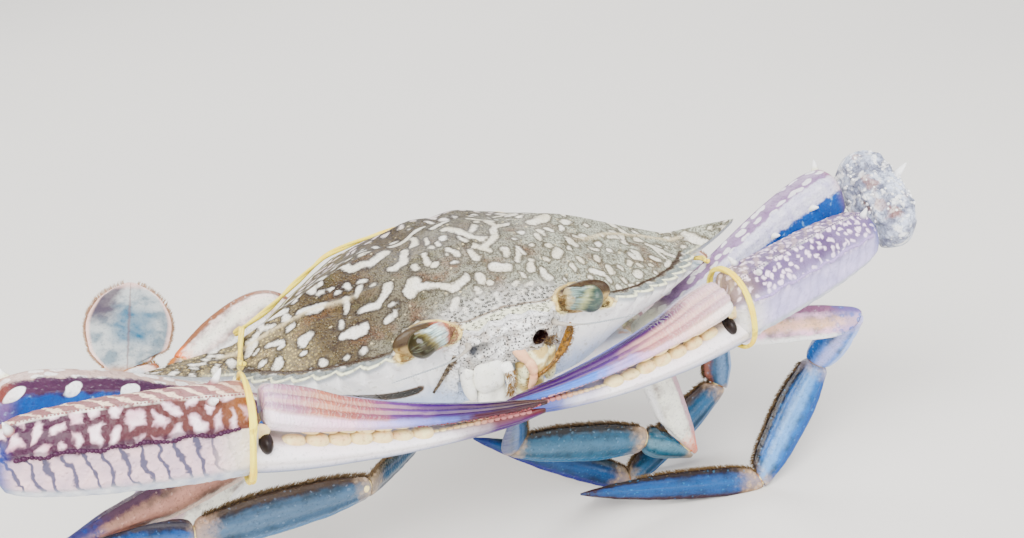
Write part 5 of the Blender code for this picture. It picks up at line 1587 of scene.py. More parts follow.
def eye_paint(side):
    p = Paint(f"{EYE_NODES[side]}_paint", roughness=0.3, coat_weight=0.3, coat_roughness=0.2)
    where = p.place()
    along, turn = p.attr("along"), p.attr("turn")
    streak = p.noise(p.vector(p.times(along, 3.0), p.times(turn, 5.0)), 1.0, 2.0)
    stalk = p.mix(p.step(streak, 0.35, 0.7), (206, 214, 212) if side < 0 else (164, 178, 174),
                  (132, 148, 152) if side < 0 else (70, 84, 80))
    stalk = p.mix(p.times(p.patches(where, 1.3, 0.52, 0.72, 3.0, 0.6), 0.6), stalk, (112, 106, 88))
    inner = p.times(p.step(p.add(along, p.sway(p.noise(where, 1.6), 0.4)), 0.3, 0.1), 0.8)
    flesh = p.mix(p.noise(where, 0.9, 2.0, 0.7), (122, 62, 54), (216, 176, 162))
    stalk = p.mix(inner, stalk, flesh if side < 0 else (196, 186, 160))
    if side < 0:
        globe = p.mix(p.noise(where, 1.6, 3.0, 0.6), (30, 24, 16), (96, 86, 58))
        edge = (158, 150, 112)
    else:
        globe = p.mix(p.noise(where, 1.6, 3.0, 0.6), (34, 48, 46), (122, 142, 134))
        edge = (178, 180, 150)
    facet = p.cells(where, 0.3)
    globe = p.mix(p.times(p.step(facet, 0.5, 0.1), 0.3), globe, (24, 24, 18))
    globe = p.mix(p.times(p.step(streak, 0.52, 0.66), 0.25), globe, (170, 178, 160))
    ragged = p.noise(p.vector(p.times(along, 2.0), p.times(turn, 5.0)), 1.0, 3.0, 0.6)
    low = p.times(p.math("COSINE", p.math("SUBTRACT", turn, 2.2)), 0.14)
    cut = p.add(p.add(along, low), p.sway(ragged, 0.34))
    color = p.mix(p.step(cut, 0.4, 0.6), stalk, edge)
    color = p.mix(p.step(cut, 0.5, 0.74), color, globe)
    return p.finish(color, (p.step(facet, 0.5, 0.1), 0.02))


def rim_paint():
    p = Paint("rim_paint", roughness=0.35, **WET)
    where = p.place()
    color = p.mix(p.noise(where, 1.6, 3.0), (194, 172, 128), (226, 216, 188))
    color = p.mix(p.times(p.patches(where, 2.4, 0.5, 0.66), 0.6), color, (160, 130, 92))
    color = p.mix(p.times(p.step(p.attr("upper"), 0.35, 0.1), 0.5), color, (242, 236, 214))
    # painted shade: the inner rings, set deeper in the socket, are darker brown
    color = p.mix(p.times(p.step(p.attr("deep"), 0.2, 0.7), 0.85), color, (92, 64, 42))
    return p.finish(color, (p.noise(where, 0.5), 0.14))


def socket_paint(side):
    p = Paint(f"socket_paint_{EYE_NODES[side]}", roughness=0.4)
    where = p.place()
    axes = p.node("SeparateXYZ", {0: where})
    high = p.add(axes.outputs[2], -(BODY_AT[2] + ORBIT_AT[2]))
    outward = p.times(p.add(axes.outputs[0], -(BODY_AT[0] + side * ORBIT_AT[0])), float(side))
    color = p.mix(p.noise(where, 2.0, 3.0), (206, 196, 168), (150, 128, 96))
    color = p.mix(p.times(p.patches(where, 1.0, 0.54, 0.66), 0.6), color, (140, 104, 64))
    # painted shadow under the socket's upper rim: dark brown over the bowl's upper part
    top = p.step(p.add(high, p.times(outward, 0.22)), 0.6, 1.8)
    color = p.mix(p.times(top, 0.9), color, (66, 42, 26))
    if side < 0:
        color = p.mix(p.times(p.step(outward, -1.0, -4.0), 0.7), color, (206, 150, 134))
    return p.finish(color, (p.noise(where, 0.8), 0.15))


def block(target, centre, half, square, turn, seed, dent=0.0):
    """A rounded plate: half sizes across, deep, high; turned in the plane of the face."""
    a = np.linspace(0.06, math.pi - 0.06, 40)[:, None]
    b = circle(56)[None]
    power = 2.0 / square
    x = squared(np.sin(a), power) * squared(np.cos(b), power) * half[0]
    y = squared(np.sin(a), 0.9) * squared(np.sin(b), 0.9) * half[1]
    z = squared(np.cos(a), power) * half[2] + 0 * b
    c, s = math.cos(turn), math.sin(turn)
    p = np.stack([c * x + s * z, y, -s * x + c * z], -1)
    p = p + unit(p) * (0.18 * noise(p + seed * 7.0, 2.2, seed) + 0.07 * noise(p, 0.8, seed + 1))[..., None]
    if dent:
        p[..., 1] += dent * hump(x / half[0], 0.1, 0.3) * (p[..., 1] < 0)
    target.grid(np.asarray(centre, float) + p)


def mouthpart(side, hair):
    """Third maxilliped: inner plates, the slim outer branch and the bent palp."""
    name = EYE_NODES[side].split("_")[0]
    made = Mesh()
    block(made, mirror((5.8, -31.4, -11.6), side), (4.0, 3.0, 5.0), 3.6, side * 0.08, 2, dent=0.3)
    block(made, mirror((5.0, -30.6, -18.6), side), (3.7, 2.4, 4.2), 3.4, -side * 0.06, 3, dent=0.7)
    block(made, mirror((10.6, -30.8, -14.0), side), (1.5, 2.0, 4.6), 2.6, side * 0.16, 4)
    block(made, mirror((10.6, -31.7, -10.4), side), (1.5, 1.4, 1.9), 2.2, 0.2, 6)
    if side > 0:
        palp = [(0.9, -33.2, -5.6), (2.4, -34.4, -8.4), (4.3, -34.9, -11.6), (4.6, -34.6, -14.9),
                (3.4, -34.0, -18.0)]
    else:
        palp = [(-2.0, -33.0, -9.4), (-1.3, -34.2, -12.0), (-1.2, -34.4, -15.0), (-1.8, -33.6, -18.0)]
    table = [(0.0, 1.2, 1.1), (0.1, 1.5, 1.3), (0.3, 1.25, 1.1), (0.36, 1.0, 0.95), (0.42, 1.3, 1.1),
             (0.62, 1.1, 1.0), (0.67, 0.8, 0.8), (0.73, 1.0, 0.9), (0.95, 0.6, 0.5), (1.0, 0.2, 0.2)]
    finger = Loft(palp, FRONT, table, 90, 28, 2.2, round_start=0.6)
    made.grid(finger.points, paint=1 if side > 0 else 0, fields=finger.fields())
    made.done(f"{name}_mouthpart", [f"{name}_maxilliped"], "belly", [mouth_paint(name), palp_paint(name)])
    rng = np.random.default_rng(80 + side)
    n = 260
    t = rng.uniform(0.25, 0.98, n)
    roots, outs, ways = finger.at(t, rng.uniform(0.6, 2.6, n) * (-1 if side > 0 else 1))
    way = unit(outs + ways * 0.5 + rng.normal(0, 0.35, (n, 3)))
    hair.hairs(roots, way, rng.uniform(0.6, 1.7, n), rng.uniform(0.04, 0.08, n),
               np.stack([0.05 + 0.3 * t, np.full(n, 0.7 + 0.05 * side)], 1), fields={"shade": 1.0})


def mouth_paint(name):
    p = Paint(f"{name}_mouth_paint", roughness=0.3, **WET)
    where = p.place()
    color = p.mix(p.noise(where, 5.0), (250, 247, 238), (232, 228, 218))
    if name == "left":
        color = p.mix(p.patches(where, 3.0, 0.4, 0.6, 3.0), (240, 234, 214), (206, 194, 158))
    color = p.mix(p.times(p.patches(where, 1.5, 0.56, 0.72, 3.0), 0.4), color, (178, 168, 150))
    speck = p.times(p.dots(where, 0.6, 0.34, 0.2), p.patches(where, 2.4, 0.5, 0.62))
    color = p.mix(p.times(speck, 0.8 if name == "left" else 0.4), color, (66, 58, 48))
    return p.finish(color, (p.noise(where, 0.6), 0.12))


def palp_paint(name):
    p = Paint(f"{name}_palp_paint", roughness=0.35, **WET)
    where = p.place()
    return p.finish(p.mix(p.noise(where, 1.6, 3.0), (240, 214, 200), (212, 170, 154)),
                    (p.noise(where, 0.5), 0.1))


def feeler(side):
    name = EYE_NODES[side].split("_")[0]
    route = [(11.1, -33.9, -1.6), (11.3, -35.8, -1.6), (14.2, -38.2, -1.7), (18.0, -39.6, -1.9),
             (24.0, -39.4, -2.6), (31.0, -37.8, -4.0)]
    table = [(0.0, 0.4, 0.4), (0.03, 0.7, 0.7), (0.08, 0.65, 0.65), (0.1, 0.45, 0.45), (0.12, 0.5, 0.5),
             (0.18, 0.45, 0.45), (0.2, 0.32, 0.32), (0.24, 0.27, 0.27), (0.6, 0.18, 0.18), (0.97, 0.1, 0.1),
             (1.0, 0.05, 0.05)]

    def rings(loft):
        return 0.05 * np.sin(loft.t * 260.0) * ease(loft.t, 0.24, 0.3) + 0 * loft.lift
    whip = Loft([mirror(p, side) for p in route], (0, 0, 1), table, 300, 14, 2.0, grow=rings)
    made = whip.mesh()
    p = Paint(f"{name}_feeler_paint", roughness=0.4)
    p.color(p.mix(p.step(p.attr("along"), 0.2, 0.5), (190, 186, 180), (180, 184, 186)))
    made.done(f"{name}_feeler", [f"{name}_antenna"], "belly", [p.made])


MOUTH_FRAME = [(15.6, -33.6, -3.6), (14.8, -33.6, -6.6), (13.0, -33.8, -9.6), (9.6, -34.6, -12.6),
               (4.6, -35.0, -15.0)]
CHEEK_SEAM = [(-13.6, -4.6), (-14.6, -7.0), (-15.8, -9.8), (-17.2, -12.4), (-18.6, -15.0)]


def mouth_frame(side, hair):
    """The ridge round the mouth's outer corner, with its brush of bristles."""
    if side > 0:
        route = [mirror(p, side) for p in MOUTH_FRAME]
        table = [(0.0, 0.3, 0.3), (0.12, 0.9, 1.0), (0.35, 1.0, 1.3), (0.6, 0.55, 0.6), (1.0, 0.3, 0.3)]
    else:
        route = [(x, float(wall_front(x, z)) - 0.1, z) for x, z in CHEEK_SEAM]
        table = [(0.0, 0.8, 0.5), (0.3, 0.65, 0.5), (0.6, 0.42, 0.4), (1.0, 0.25, 0.3)]

    def lumps(loft):
        return 0.12 * noise(loft.here[:, None] + 3.0 * np.stack([loft.lift, loft.front, 0 * loft.lift], -1),
                            1.0, 5)
    bar = Loft(route, FRONT, table, 90, 24, 2.0, grow=lumps)
    made = bar.mesh()
    p = Paint(f"mouth_frame_{side + 1}", roughness=0.4, coat_weight=0.2)
    where = p.place()
    base, flecks = ((186, 152, 88), (118, 90, 54)) if side > 0 else ((176, 168, 156), (60, 56, 52))
    p.color(p.mix(p.patches(where, 1.1, 0.42, 0.58, 3.0, 0.7), base, flecks))
    p.bump((p.noise(where, 0.5), 0.15))
    made.done(f"mouth_frame_{'left' if side > 0 else 'right'}", [], "belly", [p.made])
    rng = np.random.default_rng(90 + side)
    n = 620 if side > 0 else 130
    t = rng.uniform(0.05, 0.98, n)
    roots, outs, _ = bar.at(t, rng.uniform(0.2, 2.9, n))
    way = unit(outs * 0.9 + np.array([0.0, 0.0, 0.25]) + rng.normal(0, 0.4, (n, 3)))
    hair.hairs(roots, way, rng.uniform(0.3, 1.1, n) * (1.2 - 0.5 * t), rng.uniform(0.04, 0.07, n),
               np.stack([0.05 + 0.4 * t, np.full(n, 0.85 + 0.04 * side)], 1),
               fields={"shade": 1.0 if side > 0 else 0.3})


def face_hairs(hair):
    """The hairy patch beside the feeler's hole."""
    rng = np.random.default_rng(99)
    n = 150
    x, z = 9.8 + rng.normal(0, 1.3, n), -7.0 + rng.normal(0, 1.1, n)
    y = wall_front(x, z) + 0.2
    roots = np.stack([x, y, z], 1)
    ways = unit(np.array([0.2, -1.0, -0.3]) + rng.normal(0, 0.45, (n, 3)))
    hair.hairs(roots, ways, rng.uniform(0.5, 1.3, n), rng.uniform(0.05, 0.09, n),
               np.stack([0.5 + 0.02 * x, 0.5 + 0.02 * z], 1), fields={"shade": rng.uniform(0.0, 0.7, n)})


def hair_paint(name):
    """Bristles coloured by shade: 0 dark brown, 1 ochre, 2 pink red, 3 pale."""
    p = Paint(name, roughness=0.5)
    shade, tip = p.attr("shade"), p.attr("tip")
    color = p.mix(p.step(shade, 0.0, 1.0), (66, 54, 46), (166, 140, 100))
    color = p.mix(p.step(shade, 1.2, 2.0), color, (172, 140, 130))
    color = p.mix(p.step(shade, 2.2, 3.0), color, (206, 196, 178))
    p.color(p.mix(p.times(tip, 0.3), color, (210, 196, 170)))
    return p.made


def whole_face():
    hair = Mesh()
    face()
    for side in (1, -1):
        eye(side, hair)
        mouthpart(side, hair)
        feeler(side)
        mouth_frame(side, hair)
    face_hairs(hair)
    hair.done("face_bristles", [], "belly", [hair_paint("face_hair_paint")], uv=True)


whole_face()


# ------------------------------------------------------------------ thorax and tail flap

HIPS = {
    "claw": ((12.0, -15.5, -23.6), (40.0, -17.0, -23.6), 4.4),
    "leg2": ((25.0, -7.5, -23.8), (41.0, -7.5, -24.6), 4.0),
    "leg3": ((25.0, 2.2, -23.8), (40.0, 2.4, -24.8), 3.9),
    "leg4": ((24.0, 11.6, -23.8), (38.0, 12.0, -24.6), 3.8),
    "leg5": ((13.0, 19.0, -23.4), (33.0, 27.0, -22.6), 4.2),
}
THORAX_FLOOR = -26.5


def thorax():
    made = Mesh()
    cols = 220
    a = circle(cols)
    edge = np.stack([27.5 * np.sign(np.sin(a)) * np.abs(np.sin(a)) ** 0.8, -27.0 * np.cos(a)], 1)
    rings = []
    wall = [(0.96, SHELL_FLOOR - GAP), (0.985, SHELL_FLOOR - 1.4), (0.99, SHELL_FLOOR - 3.0), (0.96, -24.8),
            (0.92, -25.7), (0.86, -26.3)]
    for grow, z in wall + [(g, THORAX_FLOOR) for g in np.linspace(0.82, 0.03, 70)]:
        xy = edge * grow
        x, y = np.abs(xy[:, 0]), xy[:, 1]
        low = np.full(cols, z)
        if z == THORAX_FLOOR:
            lane = y + 1.5 - 0.32 * x
            groove = np.zeros(cols)
            for mark in (-19.0, -11.6, -3.2, 5.4, 13.6):
                groove = groove + hump(lane, mark + 1.5, 0.7) * ease(x, 3.0, 7.0)
            bed = ease(7.5 - 0.1 * y - x, 0.0, 2.5) * ease(y, -15.0, -9.0)
            low = low + 0.8 * groove + 0.9 * bed + 0.12 * noise(np.column_stack([xy, 0 * x]), 3.0, 6)
        rings.append(np.column_stack([xy[:, 0], xy[:, 1] + 1.5, np.maximum(low, THORAX_FLOOR)]))
    made.grid(np.array(rings))
    for side in (1, -1):
        for root, end, radius in HIPS.values():
            root, end = mirror(root, side), mirror(end, side)
            table = [(0.0, radius * 0.8, radius * 0.8), (0.2, radius, radius), (0.5, radius * 0.96, radius),
                     (0.66, radius * 1.02, radius), (0.72, radius * 0.78, radius * 0.8),
                     (0.78, radius * 0.98, radius * 0.92), (0.96, radius * 0.86, radius * 0.84),
                     (1.0, radius * 0.6, radius * 0.6)]
            hip = Loft([root, end], (0, 0, 1), table, 70, 44, 2.2)
            low = hip.points
            low[..., 2] = np.clip(low[..., 2], -30.0, SHELL_FLOOR - 0.1)
            made.grid(low, fields={"hip": 1.0})
    p = Paint("thorax_paint", roughness=0.36, **WET)
    where = p.place()
    color = p.mix(p.noise(where, 8.0, 3.0), (242, 238, 230), (222, 218, 216))
    color = p.mix(p.times(p.patches(where, 5.0, 0.55, 0.7, 3.0), p.attr("hip")), color, (232, 198, 168))
    color = p.mix(p.times(p.patches(where, 3.0, 0.58, 0.7, 3.0), 0.3), color, (170, 180, 206))
    p.color(color)
    p.bump((p.noise(where, 0.8), 0.12))
    made.done("breast_plate", ["thorax"], "belly", [p.made])


TAIL_ROUTE = [(0, 35.6, -3.4), (0, 37.2, -8.0), (0, 36.6, -16.0), (0, 32.8, -25.6), (0, 22.0, -29.3),
              (0, 6.0, -29.6), (0, -10.0, -29.0)]
TAIL_TABLE = [(0.0, 19.0, 1.0), (0.1, 20.5, 1.5), (0.24, 19.5, 1.6), (0.36, 17.0, 1.6), (0.46, 14.5, 1.5),
              (0.58, 10.5, 1.5), (0.74, 6.6, 1.5), (0.9, 4.6, 1.4), (0.98, 2.4, 1.1), (1.0, 1.0, 0.6)]


def tail_flap():
    def shape(loft):
        groove = sum(hump(loft.t, mark, 0.008) for mark in (0.12, 0.25, 0.37, 0.47, 0.59, 0.78))
        keel = rib(loft.turn, 0.0, 0.2, 0.3) + rib(loft.turn, math.pi, 0.2, 0.3)
        return -0.55 * groove + keel - 0.3 + 0.08 * noise(loft.here[:, None] + loft.front[..., None] * 9.0,
                                                          2.0, 4)
    table = [(t, thick, wide) for t, wide, thick in TAIL_TABLE]
    flap = Loft(TAIL_ROUTE, (1, 0, 0), table, 220, 128, 2.0, grow=shape)
    made = flap.mesh()
    p = Paint("tail_paint", roughness=0.36, **WET)
    where = p.place()
    color = p.mix(p.noise(where, 6.0, 3.0), (240, 234, 224), (214, 210, 212))
    seen = p.step(p.attr("along"), 0.22, 0.1)
    color = p.mix(p.times(seen, 0.6), color, (176, 164, 132))
    p.color(color)
    p.bump((p.noise(where, 0.8), 0.12))
    made.done("tail", ["abdomen"], "belly", [p.made])


thorax()
tail_flap()


# ------------------------------------------------------------------ legs

LEGS = {
    "left_leg2": dict(front=(-0.35, -0.85, 0.35), joints=[
        (43.0, -7.4, -25.0), (54.0, -7.6, -29.0), (104.5, -22.0, -33.0), (103.0, -8.0, -52.5),
        (78.5, -16.0, -79.5), (26.5, -7.0, -72.0)]),
    "left_leg3": dict(front=(0.1, -1, 0.0), joints=[
        (42.0, 2.4, -25.2), (50.0, 2.0, -30.0), (63.0, -1.0, -72.0), (50.0, -1.0, -65.0),
        (10.5, -0.5, -55.0), (1.5, -29.0, -26.5)]),
    "left_leg4": dict(front=(0.0, -1, 0.1), joints=[
        (40.0, 12.0, -24.8), (50.0, 13.5, -28.0), (86.0, 19.0, -50.0), (84.0, 16.0, -66.0),
        (47.0, 4.6, -80.8), (3.0, 10.0, -55.4)]),
    "right_leg2": dict(front=(-0.25, -1, 0.1), joints=[
        (-43.0, -7.6, -24.8), (-54.0, -9.0, -27.0), (-103.5, -24.0, -31.0), (-79.0, -25.0, -36.0),
        (-36.0, -21.5, -39.5), (-6.0, 14.0, -50.0)]),
    "right_leg3": dict(front=(-0.1, -1, 0.0), joints=[
        (-42.0, 2.4, -25.2), (-51.0, 2.2, -29.0), (-92.0, -3.0, -58.0), (-84.0, -8.0, -76.0),
        (-70.0, -22.0, -78.8), (-24.0, -33.0, -79.2)]),
    "right_leg4": dict(front=(-0.1, -1, 0.1), joints=[
        (-40.0, 12.0, -24.8), (-50.0, 13.5, -28.0), (-88.0, 17.0, -52.0), (-94.0, 12.0, -68.0),
        (-72.0, 4.0, -78.8), (-29.0, 12.0, -79.2)]),
}
LEG_TABLES = {
    "merus": [(0.0, 2.4, 2.2), (0.03, 3.4, 2.9), (0.2, 4.0, 3.1), (0.32, 4.9, 3.0), (0.6, 5.2, 3.0),
              (0.85, 4.7, 2.9), (1.0, 3.4, 2.3)],
    "carpus": [(0.0, 2.8, 2.1), (0.3, 4.1, 2.8), (0.6, 4.9, 3.0), (1.0, 3.2, 2.2)],
    "propodus": [(0.0, 2.9, 1.8), (0.12, 4.4, 2.2), (0.38, 5.8, 2.4), (0.7, 5.2, 2.2), (1.0, 2.4, 1.7)],
    "dactyl": [(0.0, 2.0, 1.4), (0.08, 3.3, 1.8), (0.26, 4.3, 1.9), (0.5, 4.0, 1.7), (0.75, 2.8, 1.3),
               (0.92, 1.3, 0.8), (1.0, 0.3, 0.3)],
}
SWIM = {
    "right_leg5": dict(front=(0.1, -0.55, 0.85), joints=[
        (-35.5, 28.0, -22.0), (-44.0, 35.0, -13.0), (-67.0, 29.5, -20.0), (-70.0, 19.5, -26.5),
        (-82.0, 27.0, -17.0), (-74.3, 52.0, -4.0)]),
    "left_leg5": dict(front=(-0.1, -0.35, 0.94), joints=[
        (35.5, 28.0, -22.0), (44.0, 34.0, -17.0), (69.0, 33.0, -27.0), (72.0, 23.0, -34.0),
        (84.0, 28.0, -34.0), (80.0, 54.0, -36.0)]),
}
SWIM_TABLES = {
    "merus": [(0.0, 2.6, 2.4), (0.05, 3.8, 3.2), (0.35, 5.4, 3.4), (0.65, 5.4, 3.2), (1.0, 3.4, 2.4)],
    "carpus": [(0.0, 3.2, 2.2), (0.3, 4.8, 2.6), (0.7, 5.2, 2.6), (1.0, 3.4, 2.0)],
    "propodus": [(0.0, 3.4, 1.8), (0.3, 5.8, 2.2), (0.7, 6.2, 2.0), (1.0, 3.4, 1.4)],
    "paddle": [(0.0, 2.6, 1.2), (0.1, 5.4, 1.3), (0.3, 9.8, 1.3), (0.55, 11.0, 1.1), (0.8, 8.6, 0.8),
               (0.94, 4.4, 0.5), (1.0, 1.2, 0.3)],
}
PAST_JOINT = 2.5

# Colours: face, top edge, lower edge, stripe down the middle, near end, far end.
CREAM = (238, 226, 210)
LEG_COLORS = {
    "left_leg2": {
        "merus": ((222, 206, 214), (176, 142, 164), (242, 236, 230), (232, 206, 190), CREAM,
                  (126, 146, 196)),
        "carpus": ((144, 172, 212), (84, 134, 190), (190, 200, 226), (204, 204, 226), (200, 190, 200),
                   (190, 180, 170)),
        "propodus": ((50, 140, 190), (54, 50, 60), (10, 118, 176), (164, 192, 216), (196, 192, 196),
                     (190, 180, 172)),
        "dactyl": ((0, 112, 164), (62, 38, 42), (76, 42, 66), (0, 126, 176), (196, 180, 160),
                   (80, 40, 56)),
    },
    "left_leg3": {
        "merus": ((232, 222, 218), (200, 184, 188), (244, 236, 230), (244, 230, 222), CREAM,
                  (226, 158, 96)),
        "carpus": ((78, 128, 150), (70, 96, 110), (130, 160, 176), (150, 176, 186), (210, 196, 176),
                   (206, 194, 178)),
        "propodus": ((82, 124, 150), (62, 62, 64), (84, 138, 170), (120, 152, 172), (206, 190, 170),
                     (200, 186, 166)),
        "dactyl": ((24, 108, 156), (50, 76, 90), (36, 84, 150), (44, 128, 178), (206, 190, 166),
                   (26, 74, 160)),
    },
    "left_leg4": {
        "merus": ((222, 214, 216), (176, 156, 164), (240, 232, 226), (236, 224, 222), CREAM,
                  (180, 170, 190)),
        "carpus": ((112, 146, 176), (172, 130, 118), (170, 186, 206), (160, 180, 200), (206, 194, 180),
                   (206, 194, 180)),
        "propodus": ((74, 122, 156), (96, 82, 78), (90, 140, 180), (110, 150, 180), (206, 190, 170),
                     (200, 186, 166)),
        "dactyl": ((26, 104, 150), (56, 78, 92), (30, 74, 160), (40, 122, 170), (206, 190, 166),
                   (22, 66, 156)),
    },
    "right_leg2": {
        "merus": ((188, 162, 150), (118, 92, 110), (226, 212, 206), (206, 178, 168), CREAM,
                  (46, 104, 172)),
        "carpus": ((66, 122, 176), (90, 86, 96), (150, 170, 200), (120, 156, 196), (206, 190, 176),
                   (196, 184, 170)),
        "propodus": ((92, 120, 146), (92, 76, 66), (120, 150, 176), (128, 150, 170), (206, 190, 176),
                     (196, 184, 170)),
        "dactyl": ((26, 92, 122), (60, 70, 70), (40, 96, 140), (44, 116, 146), (190, 176, 156),
                   (24, 72, 130)),
    },
}
for leg_name in ("right_leg3", "right_leg4"):
    LEG_COLORS[leg_name] = LEG_COLORS["left_leg" + leg_name[-1]]
SWIM_COLORS = {
    "merus": ((230, 216, 214), (170, 132, 110), (240, 232, 228), (240, 226, 220), CREAM, (222, 164, 110)),
    "carpus": ((226, 212, 202), (190, 146, 108), (232, 226, 218), (230, 220, 210), (206, 164, 124),
               (204, 158, 116)),
    "propodus": ((220, 212, 208), (182, 138, 114), (226, 214, 208), (210, 212, 214), (204, 156, 112),
                 (200, 152, 110)),
}


def limb_paint(name, face, top, under, stripe, near, far):
    p = Paint(name + "_paint", roughness=0.33, **WET)
    where = p.place()
    lift, along, reach, girth = p.attr("lift"), p.attr("along"), p.attr("reach"), p.attr("girth")
    broad, middle = p.noise(where, 6.0, 3.0, 0.6), p.noise(where, 2.0, 3.0, 0.6)
    wobble = p.sway(middle, 0.5)
    dull = tuple(int(0.78 * c) for c in face)
    color = p.mix(p.step(broad, 0.42, 0.68), face, dull)
    grain = p.noise(p.vector(p.times(reach, 0.22), girth), 1.0, 3.0, 0.6)
    middle_band = p.step(p.away(p.add(lift, p.times(wobble, 0.6))), 0.5, 0.12)
    color = p.mix(p.times(middle_band, p.add(0.35, p.times(grain, 0.7))), color, stripe)
    color = p.mix(p.step(p.add(lift, wobble), 0.5, 0.82), color, top)
    color = p.mix(p.step(p.add(lift, wobble), -0.5, -0.85), color, under)
    ends = p.cells(p.warp(where, 2.0, 0.8), 1.7, "F1")
    blotch = p.step(ends, 0.5, 0.3)
    at_near = p.step(p.add(along, p.times(wobble, 0.3)), 0.2, 0.06)
    at_far = p.step(p.add(along, p.times(wobble, 0.3)), 0.84, 0.95)
    color = p.mix(p.times(at_near, p.add(0.55, p.times(blotch, 0.4))), color, near)
    color = p.mix(p.times(at_far, p.add(0.55, p.times(blotch, 0.4))), color, far)
    light = tuple(min(255, int(c + 0.5 * (250 - c))) for c in face)
    color = p.mix(p.times(p.step(ends, 0.22, 0.14), 0.22), color, light)
    dark = tuple(int(0.45 * c) for c in face)
    color = speckle(p, where, color, dark, 0.35, 0.7)
    return p.finish(color, (p.noise(where, 0.7), 0.1), (grain, 0.12), (p.dots(where, 1.0, 0.5, 0.1), 0.06))


def joint_paint():
    p = Paint("joint_paint", roughness=0.4, **WET)
    where = p.place()
    return p.finish(p.mix(p.patches(where, 2.0, 0.4, 0.62), (230, 216, 194), (190, 154, 118)),
                    (p.noise(where, 0.5), 0.1))


JOINT = joint_paint()


def article_shape(kind):
    def shape(loft):
        turn, t = loft.turn, loft.t
        ends = ease(t, 0.05, 0.18) * (1.0 - ease(t, 0.84, 0.96))
        size = loft.thick / 2.6
        out = rib(turn, 0.32, 0.13, 0.3) + rib(turn, -0.32, 0.13, 0.3) - rib(turn, 0.72, 0.2, 0.25)
        out = out - rib(turn, -0.72, 0.2, 0.25) - rib(turn, 2.5, 0.16, 0.2) + rib(turn, 2.1, 0.14, 0.15)
        out = out - rib(turn, -2.5, 0.16, 0.2)
        if kind in ("dactyl", "propodus"):
            out = out + rib(turn, math.pi / 2, 0.2, 0.4) + rib(turn, -math.pi / 2, 0.2, 0.4)
            out = out - rib(turn, 1.15, 0.14, 0.2) - rib(turn, 1.98, 0.14, 0.2)
        ripple = 0.1 * noise(loft.here[:, None] + np.stack([2 * turn, 0 * turn, turn], -1), 2.0, 12)
        return (out * size - 0.15 + ripple) * ends
    return shape


def paddle_shape(loft):
    t = loft.t
    v = loft.lift * loft.wide
    mid = hump(v, 0.0, 0.8) + 0.5 * hump(np.abs(v), 3.4, 0.6)
    return (0.35 * mid * ease(t, 0.02, 0.12) * (1 - ease(t, 0.6, 0.92)) * np.abs(loft.front) - 0.12
            + 0.06 * noise(loft.here[:, None] + loft.lift[..., None] * 7.0, 1.6, 3))


def leg(name, spec, tables, colors, hair):
    hip, ischium, knee, wrist, ankle, tip = (np.array(p, float) for p in spec["joints"])
    cuts = [miter(ischium, knee, wrist), miter(knee, wrist, ankle), miter(wrist, ankle, tip)]
    joints = [knee, wrist, ankle]
    last = list(tables)[-1]
    routes = {"merus": longer([hip, ischium, knee], 0.8, PAST_JOINT),
              "carpus": longer([knee, wrist], PAST_JOINT, PAST_JOINT),
              "propodus": longer([wrist, ankle], PAST_JOINT, PAST_JOINT),
              last: longer([ankle, tip], PAST_JOINT, 0.0)}
    for n, (part, table) in enumerate(tables.items()):
        ends = ([cuts[n - 1][1]] if n > 0 else []) + ([cuts[n][0]] if n < len(cuts) else [])
        shape = paddle_shape if part == "paddle" else article_shape(part)
        rows = 130 if part in ("paddle", "merus") else 100
        article = Loft(routes[part], spec["front"], table, rows, 64, 2.0, cuts=ends, grow=shape,
                       round_start=1.5 if n == 0 else 0.0, soft=1.5, tuck=0.72)
        made = article.mesh()
        if n > 0:
            joint, way = joints[n - 1], article.ahead[2]
            wide, thick = article.wide[4, 0], article.thick[4, 0]
            made.egg(joint, (2.6, wide * 0.72, thick * 0.78), (way, article.up[2], article.face[2]), 1, 14,
                     20)
        if part == "paddle":
            paint = paddle_paint(name)
        else:
            paint = limb_paint(f"{name}_{part}", *colors[part])
        slot = "paddle" if "leg5" in name else "leg"
        made.done(f"{name}_{part}_look", [f"{name}_{part}"], slot, [paint, JOINT])
        fringes(name, part, article, hair)


FRINGE = {                                 # turn, start and end along, bristles per mm, length, shade
    "left_leg2": {"propodus": [(0.1, 0.1, 0.95, 24, 1.5, 0.0)], "dactyl": [(0.05, 0.04, 0.7, 24, 1.5, 0.1)]},
    "left_leg3": {"propodus": [(0.0, 0.1, 0.95, 26, 1.7, 0.0)], "dactyl": [(0.0, 0.05, 0.8, 20, 1.4, 0.1)],
                  "carpus": [(0.0, 0.2, 0.9, 18, 1.3, 0.0)]},
    "left_leg4": {"propodus": [(0.0, 0.1, 0.95, 24, 1.6, 0.1)], "dactyl": [(0.0, 0.05, 0.8, 20, 1.4, 0.1)],
                  "carpus": [(0.0, 0.2, 0.9, 16, 1.3, 0.1)]},
    "right_leg2": {"propodus": [(0.0, 0.1, 0.95, 26, 1.7, 0.0)], "dactyl": [(0.0, 0.05, 0.8, 22, 1.5, 0.0)]},
}
for leg_name in ("right_leg3", "right_leg4"):
    FRINGE[leg_name] = FRINGE["left_leg" + leg_name[-1]]
for leg_name in ("right_leg5", "left_leg5"):
    FRINGE[leg_name] = {"propodus": [(0.0, 0.1, 0.95, 20, 1.5, 1.2), (math.pi, 0.1, 0.95, 20, 1.5, 1.2)],
                        "paddle": [(0.0, 0.04, 0.99, 22, 1.5, 2.6), (math.pi, 0.04, 0.99, 22, 1.5, 2.6)],
                        "carpus": [(0.0, 0.1, 0.95, 14, 1.2, 1.2)]}
ISLANDS = []
STRIPS = 33.0                              # strips on the bristles' map, one for each article and one spare


